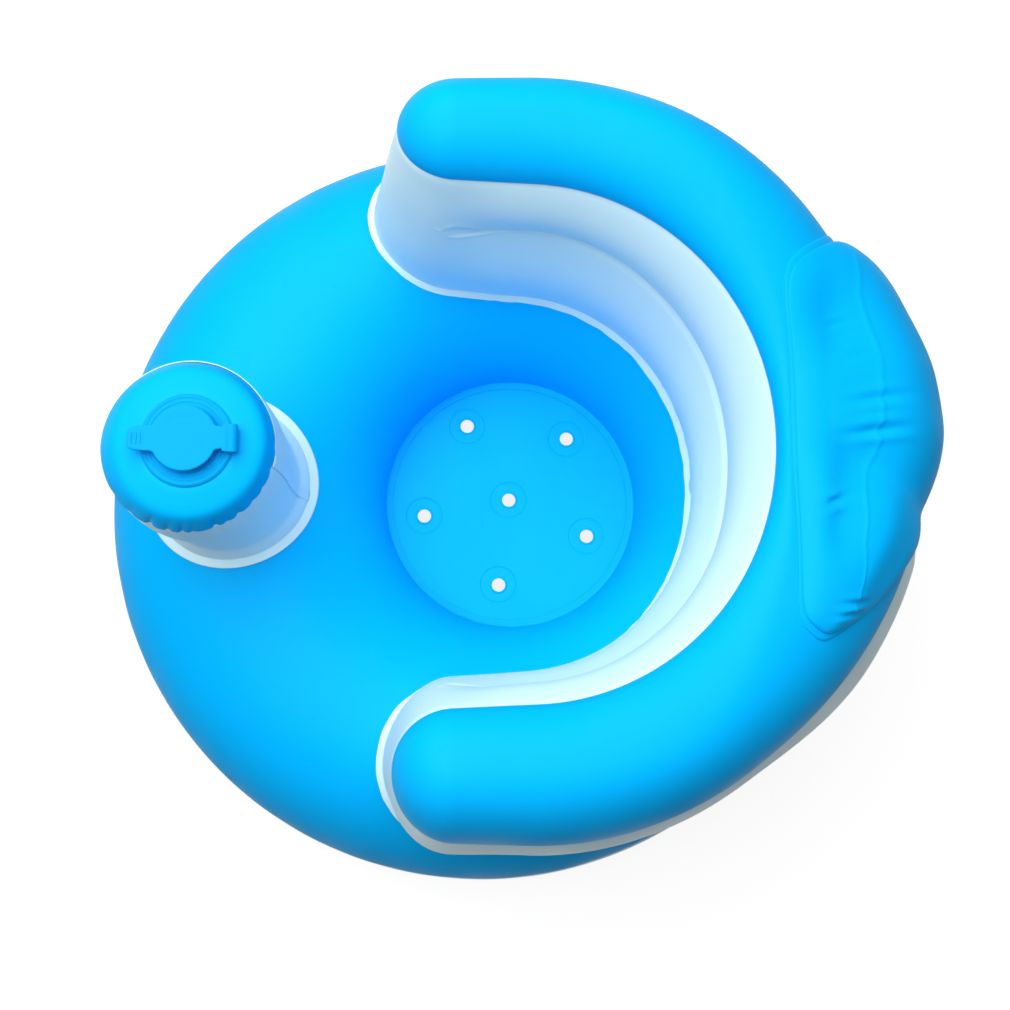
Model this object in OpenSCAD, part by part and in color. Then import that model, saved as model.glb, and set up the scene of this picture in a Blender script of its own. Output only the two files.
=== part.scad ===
// Inflatable baby floor seat. A wide ring with a drained floor carries a horseshoe backrest, whose
// outer top edge holds a squeeze pump. A post between the legs carries the air valve.
// The front is at -Y, the back at +Y. The origin lies on the ground, in the middle of the footprint.

/* [Vinyl] */
// Thickness of the inflated skins
skin = 0.5; // [0.3:0.1:0.8]
// Thickness of welded flanges
weld_t = 0.8; // [0.6:0.1:1.2]
// Gap that keeps a flange clear of the curved skin under it
lay = 1.2; // [1:0.1:1.6]

/* [Base ring] */
// Radius of the ring's outer seam
ring_r = 230; // [222:1:240]
// How far the ring's centre lies in front of the floor's centre
ring_offset = 18.5; // [10:0.5:24]
// Height of the ring's crown above the ground
ring_h = 122; // [112:1:130]
// Distance of the ring's crown from the floor's centre, at the sides
crown_r = 158; // [150:1:164]
// Height of the outer seam above the ground
seam_h = 63; // [58:1:80]
// Height of the ring's widest place above the ground
belly_h = 48; // [40:1:56]
// Width of the flat band that the ring stands on
rest_band = 36; // [24:1:50]

/* [Seat floor] */
// Radius of the floor, out to the ring's foot
floor_r = 81; // [76:1:86]
// Height of the floor's top face above the ground
floor_h = 40; // [32:1:48]
// Thickness of the floor's top sheet
floor_t = 0.5; // [0.3:0.1:0.8]
// Thickness of the sheet that backs the floor
backing_t = 0.5; // [0.3:0.1:0.8]
// Width of the weld between floor and ring
floor_weld = 5; // [3:0.5:8]
// Radius of a drain hole
drain_r = 4.2; // [2.5:0.1:4.6]
// Radius of the circle that the outer drain holes lie on
drain_pitch_r = 55; // [48:1:58]
// Number of drain holes on that circle
drain_count = 5; // [3:1:6]
// Turn of the first outer drain hole from the back
drain_turn = -47; // [-90:1:90]
// Radius of a drain hole's welded eyelet
eyelet_r = 11.2; // [9:0.1:13]
// Thickness of an eyelet
eyelet_t = 0.6; // [0.4:0.1:1]
// Radius of the raised lip round a drain hole
lip_r = 5.5; // [5.3:0.1:7]
// Height and width of that lip
lip_t = 0.6; // [0.4:0.1:0.9]

/* [Backrest] */
// Distance of the backrest's centre line from the floor's centre, behind the seat
spine_back = 155; // [150:1:160]
// The same distance beside the seat
spine_side = 162; // [158:1:166]
// How far the arms run in front of the floor's centre, to the middle of their round ends
arm_reach = 38; // [25:1:45]
// Height of the crown of the arms above the ground
arm_h = 278; // [270:1:290]
// Height of the crown above the ground where the pump starts
nape_h = 266; // [261:1:274]
// Distance of that crown from the floor's centre
nape_r = 124; // [122:1:130]
// Height of the border between wall and top, on the seat's side
border_in_h = 256; // [246:1:262]
// Height of that border on the outside of the arms
border_out_h = 229; // [222:1:238]
// Height of that border under the pump
border_back_h = 222; // [214:1:228]
// From the centre line to the foot on the seat's side, behind the seat
foot_in = 47; // [42:1:50]
// From the centre line to the foot on the outside
foot_out = 47; // [42:1:49]
// The same behind the seat
foot_back = 41; // [38:1:43]
// The same at the arms' ends, to the side
foot_end = 41; // [38:1:44]
// From the middle of an arm's round end to the foot in front of it
foot_nose = 45; // [40:1:50]
// From the centre line to the border on the seat's side
border_in = 35.5; // [32:0.5:38]
// From the centre line to the border on the outside
border_out = 35; // [32:0.5:40]
// The same at the arms' ends, to the side
border_end = 31; // [28:1:34]
// From the middle of an arm's round end to the border in front of it
border_nose = 31; // [27:1:36]
// How far the bands above and below the groove swell towards the seat
band_swell = 7; // [3:0.5:9]
// How far the whole wall swells, on the seat's side
inner_swell = 3; // [0:0.5:5]
// The same on the outside
outer_swell = 4; // [0:0.5:8]
// Share of the wall's height at which the web holds it in
groove_share = 0.54; // [0.45:0.01:0.62]
// Width of the welded flange round the backrest's foot
foot_weld = 6; // [4:0.5:8]
// Radius of an air hole in the tie web
web_hole_r = 9; // [5:1:14]

/* [Pump] */
// Half of the angle round the seat that the pump takes
pump_angle = 34; // [30:1:36]
// Lowest share of the wall's height that the pump reaches
pump_low = 0.64; // [0.6:0.01:0.7]
// How far the cover stands off the backrest along its inner edge
cover_in = 2; // [1:0.5:5]
// How far it stands off at the outer edge
cover_out = 31; // [24:0.5:36]
// Share by which the pump is fuller at its -X end and flatter at its +X end
pump_skew = 0.5; // [0:0.05:0.6]
// Share of that angle that the pump keeps at its +X end
pump_short = 0.9; // [0.85:0.01:1]
// How far the backrest is pressed in under the pump
pump_dent = 15; // [10:1:18]
// Width of the welded flange round the pump
pump_weld = 4; // [3:0.5:6]
// Radius of the inlet body's flange
inlet_r = 10; // [8.5:0.5:11]
// Radius of the inlet body's sleeve
inlet_sleeve_r = 7; // [6:0.5:8]
// Length of the sleeve inside the cover
inlet_depth = 5; // [4:0.5:6]
// Radius of the outlet body's flange
outlet_r = 11; // [9:0.5:13]
// Thickness of a pump flap
flap_t = 0.6; // [0.4:0.1:0.8]
// How far a pump flap lifts off its seat
flap_lift = 1.2; // [0.8:0.1:1.6]
// How far the pump's rear face is pressed in
pump_stroke = 12; // [8:1:13]

/* [Post] */
// Radius of the post's foot
post_foot_r = 46; // [42:1:50]
// How far the post's wall swells halfway up
post_swell = 2; // [0:0.5:4]
// Radius of the cap's rim
cap_r = 44.5; // [41:0.5:46]
// From the ring's crown to the cap's rim, along the post
post_len = 100; // [80:1:110]
// How far the post leans forward
post_lean = 3.5; // [0:0.5:6]
// Height of the cap's dome above its rim
cap_dome = 19; // [12:1:24]
// How far the cap's flat top, which carries the valve, lies behind the post's axis
valve_back = 4; // [0:0.5:6]
// Width of the welded flange round the post's foot
post_weld = 5; // [3:0.5:7]
// Width of the side seam's overlap
side_seam_w = 6; // [4:0.5:10]

/* [Air valve] */
// Radius of the valve's welded flange
valve_flange_r = 23.5; // [21:0.5:25]
// Thickness of that flange
valve_flange_t = 1.2; // [0.8:0.1:1.6]
// Outer radius of the neck
neck_r = 14; // [13:0.5:15]
// Radius of the bore
bore_r = 11; // [10:0.1:11.5]
// Height of the neck above the flange
neck_h = 5; // [4:0.5:7]
// Depth of the sleeve below the flange
sleeve_depth = 16; // [14:1:20]
// Radius of the lid
lid_r = 16.5; // [15.5:0.5:18]
// Thickness of the lid
lid_t = 2; // [1.6:0.1:2.6]
// How far the lid's plug reaches into the bore
plug_depth = 2.5; // [2:0.1:3]
// Room between the plug and the bore
plug_room = 0.7; // [0.6:0.1:1]
// Reach of the finger tab from the valve's axis
tab_reach = 28; // [24:0.5:30]
// Width of the finger tab
tab_w = 13; // [10:0.5:14]
// Width of the hinge strap
strap_w = 14; // [10:0.5:15]
// Thickness of the strap
strap_t = 1.2; // [0.8:0.1:1.4]
// Distance of the strap's fold from the valve's axis
fold_reach = 26; // [24.5:0.5:28]
// Depth of the check flap's seat below the flange
seat_depth = 8; // [6:0.5:9]
// Radius of the check flap
disc_r = 9.4; // [8:0.1:9.8]
// Thickness of the check flap
disc_t = 0.8; // [0.6:0.1:1.2]
// Radius of the check flap's stem
stem_r = 1.5; // [1.2:0.1:2]
// Room between the stem and its hole
stem_room = 0.25; // [0.15:0.05:0.4]
// How far the check flap drops to let air in
disc_drop = 2.5; // [1.5:0.1:3]

/* [Hidden] */
$fn = 64;

function mix(a, b, t) = a + (b - a) * t;
function clamp(t) = min(1, max(0, t));
function soft(t) = clamp(t) * clamp(t) * (3 - 2 * clamp(t));
function flat_list(lists) = [for (l = lists) each l];
function arc(cx, cz, rx, rz, angles) = [for (t = angles) [cx + rx * cos(t), cz + rz * sin(t)]];

// ---- the ring: a section between the floor's edge and the outer seam, carried round the floor
ring_stations = 40;
foot_angles = [180, 165, 150, 135, 120, 105, 90];
shoulder_shares = [0.8, 0.6, 0.4, 0.2, 0.07, 0];
belly_angles = [360, 337, 315, 292, 270];
heel_angles = [270, 247, 225, 202, 180];
crown_share = (crown_r - floor_r) / (ring_r - floor_r);

function ring_foot(a) = floor_r * [cos(a), sin(a)];
function ring_seam(a) = [ring_r * cos(a), ring_r * sin(a) - ring_offset];
function ring_width(a) = norm(ring_seam(a) - ring_foot(a));
function ring_xy(a, x) = ring_foot(a) + (ring_seam(a) - ring_foot(a)) * x / ring_width(a);
// the turn on the ring's outer curve at which the seam lies, counted from its widest place
seam_turn = asin((seam_h - belly_h) / (ring_h - belly_h));
tape_angle = 5;
shoulder_angles = [for (k = shoulder_shares) mix(seam_turn, 90, k)];
function ring_place(a, path) = [for (p = path) [each ring_xy(a, p[0]), p[1]]];

// the path over the ring from the floor's weld to the outer seam, set in by i from the outside
function ring_top_path(w, i) = let (c = crown_share * w, z = floor_h + skin - i) concat(
    [[-floor_weld, z]],
    arc(c, z, c - i, ring_h - i - z, foot_angles),
    arc(c, belly_h, w - c - i, ring_h - i - belly_h, shoulder_angles)
);
// the path under the ring from the outer seam to the floor's weld, set in by i
function ring_low_path(w, i) =
    let (c = crown_share * w, in = c - rest_band / 2, out = c + rest_band / 2)
    let (z = floor_h - floor_t - backing_t - skin + i) concat(
    arc(c, belly_h, w - c - i, ring_h - i - belly_h, [seam_turn, seam_turn - tape_angle]),
    arc(out, belly_h, w - out - i, belly_h - i, belly_angles),
    arc(in, z, in - i, z - i, heel_angles),
    [[-floor_weld, z]]
);
// the path of the tape across the outer seam
function ring_tape_path(w, i) = let (c = crown_share * w)
    arc(c, belly_h, w - c - i, ring_h - i - belly_h, [shoulder_angles[4], seam_turn, seam_turn - tape_angle]);

// share of the way from the ring's foot to its seam at a place on the plan, and the ring's height there
function ring_share(p) =
    let (k = ring_r - floor_r, e = [0, ring_offset])
    let (a = k * k - e * e, b = 2 * (floor_r * k - p * e), c = floor_r * floor_r - p * p)
    (sqrt(b * b - 4 * a * c) - b) / (2 * a);
function ring_z(p) =
    let (u = ring_share(p), low = floor_h + skin)
    let (in = (crown_share - u) / crown_share, out = (u - crown_share) / (1 - crown_share))
    u < crown_share ? low + (ring_h - low) * sqrt(max(0, 1 - in * in))
    : belly_h + (ring_h - belly_h) * sqrt(max(0, 1 - out * out));

// the same with the gap that keeps a flange clear of the ring, which is square to the ring's slope
function ring_lift_z(p) =
    let (slope = ring_z(p + p / norm(p)) - ring_z(p))
    ring_z(p) + lay * norm([1, slope]);

// ---- the backrest: a band along a centre line, which is an arc behind the seat and straight arms.
// t is 0 behind the seat, 1 beside the floor's centre and tip_t in the middle of an arm's round end
tip_t = 1.25;
side_ts = [0, 0.095, 0.19, 0.285, 0.378, 0.5, 0.62, 0.745, 0.87, 1, 1.085, 1.17, tip_t];
side_n = len(side_ts) - 1;
nose_n = 7;
half_n = 2 * side_n + nose_n;
loop_n = 2 * half_n;
wall_vs = [0, 0.18, 0.36, groove_share, 0.69, 0.84, 1];
dome_angles = [0, 22, 45, 67];
// how soon the shape behind the seat gives way to that of the arms
nape_fade = 1.3;

function spine(t) = t > 1 ? [spine_side, -arm_reach * (t - 1) / (tip_t - 1)]
    : mix(spine_back, spine_side, soft(abs(t))) * [sin(90 * t), cos(90 * t)];
function outward(t) = t > 1 ? [1, 0] : [sin(90 * t), cos(90 * t)];
function taper(t) = pow(t / tip_t, 2);
function crown_xy(t) = spine(t) - outward(t) * (spine_back - nape_r) * (1 - soft(nape_fade * abs(t)));
function crown_z(t) = mix(nape_h, arm_h, soft(nape_fade * abs(t)));

// position on the loop round the band: h runs from the inside behind the seat round an arm's end
// to the outside behind the seat
function loop_t(h) = side_ts[h <= side_n ? h : h >= side_n + nose_n ? half_n - h : side_n];
function loop_turn(h) = 180 * clamp((h - side_n) / nose_n);
function loop_out(h) = (1 - cos(loop_turn(h))) / 2;

// how far the wall swells at share v of its height, with and without the groove
function bands(v) =
    sin(180 * (v < groove_share ? v / groove_share : (v - groove_share) / (1 - groove_share)));
function reach_in(t, v, swell) =
    mix(mix(foot_in, foot_end, taper(t)), mix(border_in, border_end, taper(t)), v)
    + inner_swell * sin(180 * v) + band_swell * swell;
function reach_out(t, v, swell) =
    let (foot = mix(foot_back, foot_out, soft(nape_fade * abs(t))))
    mix(mix(foot, foot_end, taper(t)), mix(border_out, border_end, taper(t)), v)
    + outer_swell * sin(180 * v) + band_swell * swell / 2;
function reach_nose(v) = mix(foot_nose, border_nose, v);

// plan position of loop point h at share v, set in by i, or set out where i is negative
function loop_xy(h, v, i) =
    let (t = loop_t(h), turn = loop_turn(h), nose = sin(turn))
    let (swell = mix(bands(v), sin(180 * v), nose > 0 ? 1 : 0))
    let (side = turn < 90 ? reach_in(t, v, swell) : reach_out(t, v, swell))
    spine(t) - outward(t) * cos(turn) * (side - i) - [0, nose * (reach_nose(v) - i)];
function foot_in_z(h) = ring_lift_z(loop_xy(h, 0, skin));
function foot_out_z(h) = ring_lift_z(loop_xy(h, 0, -foot_weld));
// height of the foot flange's underside at inset i
function foot_z(h, i) = mix(foot_in_z(h), foot_out_z(h), (skin - i) / (skin + foot_weld));
function outer_border_z(t) = mix(border_back_h, border_out_h, soft(nape_fade * abs(t)));
function border_z(h) = mix(border_in_h, outer_border_z(loop_t(h)), loop_out(h));
function wall_point(h, v, i) =
    [each loop_xy(h, v, i), mix(foot_z(h, i) + weld_t, border_z(h), v)];
function dome_point(h, turn, i) =
    let (c = crown_xy(loop_t(h)), edge = loop_xy(h, 1, i))
    [each c + (edge - c) * cos(turn), mix(border_z(h), crown_z(loop_t(h)) - i, sin(turn))];

function mirrored(p) = [-p[0], p[1], p[2]];
// all stations round the band, where station(h) gives a list of points on the half at +X
function loop(station) = concat(
    [for (h = [0:half_n]) station(h)],
    [for (h = [half_n - 1:-1:1]) [for (p = station(h)) mirrored(p)]]);

// ---- the pump: q is 0 at the crown, border_q at the border and 1 at the pump's lowest place
border_q = 0.6;
pump_mid = 0.51;
pump_half = 0.49;
// how square the pump's footprint is at its upper and lower corners
upper_power = 7;
lower_power = 2.6;
press_tilt = 40;
pump_spokes = 36;
// rings of the pattern that the cover and the foam follow, each a share of the way to the weld
cover_shares = [1, 0.95, 0.85, 0.6, 0.3];
foam_shares = [0.86, 0.7, 0.4];
// share of its height that the cover has lost at its two ends
end_fall = 0.45;
function pump_q_of_wall(v) = border_q + (1 - border_q) * (1 - v) / (1 - pump_low);
function pump_edge(t, q) =
    let (across = abs(90 * t / pump_angle), down = abs(q - pump_mid) / pump_half)
    let (n = q < pump_mid ? upper_power : lower_power)
    pow(pow(across, n) + pow(down, n), 1 / n);
function press_dir(t) = [each outward(t) * cos(press_tilt), sin(press_tilt)];
function dent(t, q) = pump_dent * pow(1 - pow(clamp(pump_edge(t, q)), 2), 2);
function dented(h, q, p) =
    h >= side_n + nose_n && loop_t(h) <= 0.5 ? p - press_dir(loop_t(h)) * dent(loop_t(h), q) : p;
function wall_dented(h, v, i) = dented(h, pump_q_of_wall(v), wall_point(h, v, i));
function dome_dented(h, turn, i) = dented(h, border_q * cos(turn), dome_point(h, turn, i));

// the backrest's outer face behind the seat, before the pump presses it in
function back_dome(t, turn) =
    let (c = crown_xy(t), edge = spine(t) + outward(t) * reach_out(t, 1, 0))
    [each c + (edge - c) * cos(turn), mix(outer_border_z(t), crown_z(t), sin(turn))];
function back_wall(t, v) =
    let (foot = ring_lift_z(spine(t) + outward(t) * reach_out(t, 0, 0)) + weld_t)
    [each spine(t) + outward(t) * reach_out(t, v, bands(v)), mix(foot, outer_border_z(t), v)];
function back_face(t, q) = q < border_q ? back_dome(t, acos(q / border_q))
    : back_wall(t, 1 - (q - border_q) / (1 - border_q) * (1 - pump_low));
function off_back(t, q, rise) = back_face(t, q) + press_dir(t) * rise;

// a spoked pattern over the pump's footprint: share is 0 in the middle and 1 at the weld
function spoke(k) =
    let (c = cos(360 * k / pump_spokes), s = sin(360 * k / pump_spokes))
    let (n = s < 0 ? upper_power : lower_power)
    [c, s] / pow(pow(abs(c), n) + pow(abs(s), n), 1 / n);
function side_angle(x) = pump_angle * (x > 0 ? pump_short : 1);
function spoke_t(k, share) = side_angle(spoke(k)[0]) / 90 * share * spoke(k)[0];
function spoke_q(k, share) = max(0, pump_mid + pump_half * share * spoke(k)[1]);
function cover_rise(share, t, q) =
    let (end = 90 * t / side_angle(t), full = sqrt(max(0, 1 - pow(share, 6))))
    lay + weld_t + mix(cover_in, cover_out, q) * full * (1 - end_fall * end * end) * (1 - pump_skew * end);
function cover_top(k, share) =
    let (t = spoke_t(k, share), q = spoke_q(k, share))
    off_back(t, q, cover_rise(share, t, q));
// which way the cover faces, from places a small step away on both sides
cover_step = 0.05;
function cover_facing(k, share) =
    let (s = max(share, cover_step), far = min(1, s + cover_step), quarter = pump_spokes / 4)
    let (out = share == 0 ? cover_top(0, s) - cover_top(2 * quarter, s)
        : cover_top(k, far) - cover_top(k, s - cover_step))
    let (round = share == 0 ? cover_top(quarter, s) - cover_top(3 * quarter, s)
        : cover_top(k + 1, s) - cover_top(k - 1, s))
    cross(out, round) / norm(cross(out, round));
// a point of the cover, set in by i
function cover_point(k, share, i) = cover_top(k, share) - i * cover_facing(k, share);

// ---- meshes
// a closed chain of stations, each a closed list of as many points
module chain(stations, closed = true) {
    n = len(stations);
    m = len(stations[0]);
    sides = [for (s = [0:closed ? n - 1 : n - 2], k = [0:m - 1])
        let (a = s * m + k, b = s * m + (k + 1) % m)
        let (c = (s + 1) % n * m + k, d = (s + 1) % n * m + (k + 1) % m)
        each [[a, c, b], [b, c, d]]];
    ends = closed ? [] : [[for (k = [0:m - 1]) k], [for (k = [m - 1:-1:0]) (n - 1) * m + k]];
    polyhedron(flat_list(stations), concat(sides, ends));
}
// two stacks of rings that share their rims, each closed by a point in its middle
module lens(top_rings, top_mid, low_rings, low_mid) {
    rings = concat([for (k = [len(top_rings) - 1:-1:0]) top_rings[k]], low_rings);
    n = len(rings);
    m = len(rings[0]);
    top = n * m;
    sides = [for (s = [0:n - 2], k = [0:m - 1])
        let (a = s * m + k, b = s * m + (k + 1) % m, c = a + m, d = b + m)
        each [[a, b, c], [b, d, c]]];
    caps = [for (k = [0:m - 1]) each [
        [top, (k + 1) % m, k],
        [top + 1, (n - 1) * m + k, (n - 1) * m + (k + 1) % m]]];
    polyhedron(concat(flat_list(rings), [top_mid, low_mid]), concat(sides, caps));
}
// a thin disc or ring whose edge follows the ring's own facets
module floor_disc(x, z, t) {
    translate([0, 0, z]) linear_extrude(t) difference() {
        polygon([for (s = [0:ring_stations - 1]) ring_xy(360 * s / ring_stations, x)]);
        at_drains() circle(drain_r);
    }
}
// the drain holes lie a little off the floor's centre
drain_off = [-2, -1];
module at_drains() {
    translate(drain_off) {
        children();
        for (k = [0:drain_count - 1])
            rotate(-drain_turn - 360 * k / drain_count) translate([0, drain_pitch_r]) children();
    }
}

// ---- places: the pump's valves, the post, and the middle of the footprint
// the inlet lies flat on the cover between two rings of its pattern, low behind the backrest's middle
function cover_mid(share) = let (q = pump_mid + pump_half * share) off_back(0, q, cover_rise(share, 0, q));
inlet_high = cover_mid(cover_shares[2]);
inlet_low = cover_mid(cover_shares[1]);
inlet_tilt = atan2(inlet_high[1] - inlet_low[1], inlet_high[2] - inlet_low[2]);
inlet_flange_t = 1.2;
inlet_room = 0.2;
hole_room = 0.3;
// the outlet lies flat over the pressed-in skin between two rows of its points
function skin_mid(row) = let (q = border_q * cos(dome_angles[row])) off_back(0, q, -dent(0, q));
outlet_high = skin_mid(3);
outlet_low = skin_mid(2);
outlet_tilt = atan2(outlet_low[1] - outlet_high[1], outlet_high[2] - outlet_low[2]);
outlet_flange_t = 1.2;
// gap between the outlet's flange and the pressed-in skin
outlet_room = 2.4;
outlet_sleeve_r = 7;
outlet_depth = 9;
pump_seat_t = 1.5;
post_y = -(floor_r + crown_share * ring_width(270));
back_reach = (inlet_high[1] + inlet_low[1]) / 2 + inlet_r * abs(sin(inlet_tilt))
    + (inlet_room + inlet_flange_t) * cos(inlet_tilt);
floor_y = (ring_r + ring_offset - back_reach) / 2;
module seat_frame() { translate([0, floor_y, 0]) children(); }
module inlet_frame() {
    seat_frame() translate((inlet_high + inlet_low) / 2) rotate([-90 - inlet_tilt, 0, 0])
        translate([0, 0, inlet_room]) children();
}
module outlet_frame() {
    seat_frame() translate((outlet_high + outlet_low) / 2) rotate([outlet_tilt - 90, 0, 0])
        translate([0, 0, outlet_room]) children();
}
module post_frame(z) {
    seat_frame() translate([0, post_y, ring_h]) rotate([post_lean, 0, 0]) translate([0, 0, z]) children();
}
// a point of the leaning post, whose own origin is on the ring's crown
function leaning(p) = [p[0], post_y + p[1] * cos(post_lean) - p[2] * sin(post_lean),
    ring_h + p[1] * sin(post_lean) + p[2] * cos(post_lean)];

// ---- base
function reverse(l) = [for (k = [len(l) - 1:-1:0]) l[k]];
module ring_chain(upper, lower) {
    seat_frame() chain([for (s = [0:ring_stations - 1])
        let (a = 360 * s / ring_stations, w = ring_width(a))
        ring_place(a, concat(upper(w), reverse(lower(w))))]);
}
module base_top_skin() {
    color("deepskyblue") ring_chain(function (w) ring_top_path(w, 0), function (w) ring_top_path(w, skin));
}
module base_bottom_skin() {
    color("aliceblue") ring_chain(function (w) ring_low_path(w, 0), function (w) ring_low_path(w, skin));
}
module base_seam_tape() {
    color("white")
        ring_chain(function (w) ring_tape_path(w, skin), function (w) ring_tape_path(w, 2 * skin));
}
module floor_sheet() {
    color("deepskyblue") seat_frame() floor_disc(skin, floor_h - floor_t, floor_t);
}
module floor_backing() {
    color("aliceblue") seat_frame() floor_disc(skin, floor_h - floor_t - backing_t, backing_t);
}
module drain_eyelets() {
    color("dodgerblue") seat_frame() translate([0, 0, floor_h]) at_drains() rotate_extrude() {
        translate([drain_r, 0]) square([eyelet_r - drain_r, eyelet_t]);
        translate([lip_r - lip_t / 2, 0]) square([lip_t, eyelet_t + lip_t]);
    }
}

// ---- backrest
module backrest_wall() {
    color("aliceblue") seat_frame() chain(loop(function (h) concat(
        [for (v = wall_vs) wall_dented(h, v, skin)],
        [for (v = reverse(wall_vs)) wall_dented(h, v, 0)])));
}
// the number of the crown point that loop point k leans towards
function rib(k) =
    let (h = k <= half_n ? k : loop_n - k)
    side_n + (k <= half_n ? 1 : -1) * min(h, side_n, half_n - h);
function crown_points(i) = [for (s = [-side_n:side_n])
    let (t = side_ts[abs(s)], p = crown_xy(t))
    [sign(s) * p[0], p[1], crown_z(t) - i]];
function dome_points(i) = concat(
    flat_list([for (turn = dome_angles) [for (s = loop(function (h) [dome_dented(h, turn, i)])) s[0]]]),
    crown_points(i));
function dome_faces(first) =
    let (rows = len(dome_angles), top = first + rows * loop_n)
    concat(
        [for (s = [0:rows - 2], k = [0:loop_n - 1])
            let (a = first + s * loop_n + k, b = first + s * loop_n + (k + 1) % loop_n)
            each [[a, a + loop_n, b], [b, a + loop_n, b + loop_n]]],
        [for (k = [0:loop_n - 1])
            let (a = top - loop_n + k, b = top - loop_n + (k + 1) % loop_n)
            let (p = top + rib(k), q = top + rib((k + 1) % loop_n))
            each p == q ? [[a, p, b]] : [[a, p, b], [b, p, q]]]);
module backrest_top_skin() {
    outside = dome_points(0);
    inside = dome_points(skin);
    n = len(outside);
    rim = [for (k = [0:loop_n - 1]) let (j = (k + 1) % loop_n) each [[k, j, n + k], [j, n + j, n + k]]];
    color("deepskyblue") difference() {
        seat_frame() polyhedron(
            concat(outside, inside), concat(dome_faces(0), [for (f = dome_faces(n)) reverse(f)], rim));
        outlet_frame() translate([0, 0, -outlet_depth])
            cylinder(r = outlet_sleeve_r + hole_room, h = outlet_depth);
    }
}
module backrest_foot_weld() {
    color("white") seat_frame() chain(loop(function (h)
        let (out = loop_xy(h, 0, -foot_weld), in = loop_xy(h, 0, skin))
        let (low = foot_out_z(h), high = foot_in_z(h))
        [[each in, high], [each in, high + weld_t], [each out, low + weld_t], [each out, low]]));
}
module backrest_tie_web() {
    color("white") seat_frame() difference() {
        chain([for (s = [-side_n:side_n])
            let (h = abs(s), in = wall_dented(h, groove_share, skin))
            let (out = wall_dented(half_n - h, groove_share, skin))
            let (up = [0, 0, skin / 2], x = s < 0 ? -1 : 1)
            [for (p = [in - up, out - up, out + up, in + up]) [x * p[0], p[1], p[2]]]], false);
        for (t = [-0.5, 0, 0.5])
            translate([each spine(t), ring_h]) cylinder(r = web_hole_r, h = border_in_h - ring_h);
    }
}

// ---- pump
function spoked(shares, point) = [for (s = shares) [for (k = [0:pump_spokes - 1]) point(k, s)]];
module pump_cover() {
    color("dodgerblue") difference() {
        seat_frame() lens(
            spoked(cover_shares, function (k, s) cover_point(k, s, 0)), cover_point(0, 0, 0),
            spoked(cover_shares, function (k, s) cover_point(k, s, skin)), cover_point(0, 0, skin));
        inlet_frame() translate([0, 0, -inlet_depth])
            cylinder(r = inlet_sleeve_r + hole_room, h = inlet_depth);
    }
}
module pump_weld_flange() {
    wide = 1 + pump_weld / norm(back_face(pump_angle / 90, pump_mid) - back_face(0, pump_mid));
    color("deepskyblue") seat_frame() chain([for (k = [0:pump_spokes - 1])
        [for (c = [[1, lay], [1, lay + weld_t], [wide, lay + weld_t], [wide, lay]])
            let (t = spoke_t(k, c[0]))
            off_back(t, spoke_q(k, c[0]), c[1])]]);
}
foam_room = 5;
function foam_top(k, s) = let (t = spoke_t(k, s), q = spoke_q(k, s))
    off_back(t, q, cover_rise(s, t, q) - skin - foam_room);
function foam_low(k, s) = let (t = spoke_t(k, s), q = spoke_q(k, s))
    off_back(t, q, foam_room - dent(t, q));
module pump_foam() {
    color("lightgray") difference() {
        seat_frame() lens(
            spoked(foam_shares, function (k, s) foam_top(k, s)), foam_top(0, 0),
            spoked(foam_shares, function (k, s) foam_low(k, s)), foam_low(0, 0));
        inlet_frame() translate([0, 0, -pump_stroke])
            cylinder(r = inlet_r, h = 2 * pump_stroke);
        outlet_frame() translate([0, 0, -foam_room]) cylinder(r = outlet_r + foam_room, h = 3 * foam_room);
    }
}
// a flanged sleeve with a seat across its far end: z is 0 at the flange's underside
module pump_valve_body(flange_r, flange_t, sleeve_r, depth) {
    difference() {
        union() {
            cylinder(r = flange_r, h = flange_t);
            translate([0, 0, -depth]) cylinder(r = sleeve_r, h = depth);
        }
        translate([0, 0, -depth + pump_seat_t]) cylinder(r = sleeve_r - pump_seat_t, h = depth + flange_t);
        for (k = [0:pump_ports - 1])
            rotate(360 * k / pump_ports) translate([sleeve_r / 2, 0, -depth])
                cylinder(r = port_r, h = pump_seat_t);
        translate([0, 0, -depth]) cylinder(r = pump_pin_r + stem_room, h = pump_seat_t);
    }
}
pump_ports = 5;
port_r = 1.1;
pump_pin_r = 1;
pump_bead_r = 1.8;
pump_bead_t = 0.8;
// a disc under the seat with a pin through it and a bead that stops its travel
module pump_valve_flap(sleeve_r, depth) {
    translate([0, 0, -depth - flap_t]) cylinder(r = sleeve_r, h = flap_t);
    translate([0, 0, -depth]) cylinder(r = pump_pin_r, h = pump_seat_t + flap_lift);
    translate([0, 0, -depth + pump_seat_t + flap_lift]) cylinder(r = pump_bead_r, h = pump_bead_t);
}
module pump_inlet_body() {
    color("white") inlet_frame() pump_valve_body(inlet_r, inlet_flange_t, inlet_sleeve_r, inlet_depth);
}
module pump_inlet_flap() {
    color("dimgray") inlet_frame() pump_valve_flap(inlet_sleeve_r, inlet_depth);
}
module pump_outlet_body() {
    color("white")
        outlet_frame() pump_valve_body(outlet_r, outlet_flange_t, outlet_sleeve_r, outlet_depth);
}
module pump_outlet_flap() {
    color("dimgray") outlet_frame() pump_valve_flap(outlet_sleeve_r, outlet_depth);
}

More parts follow.
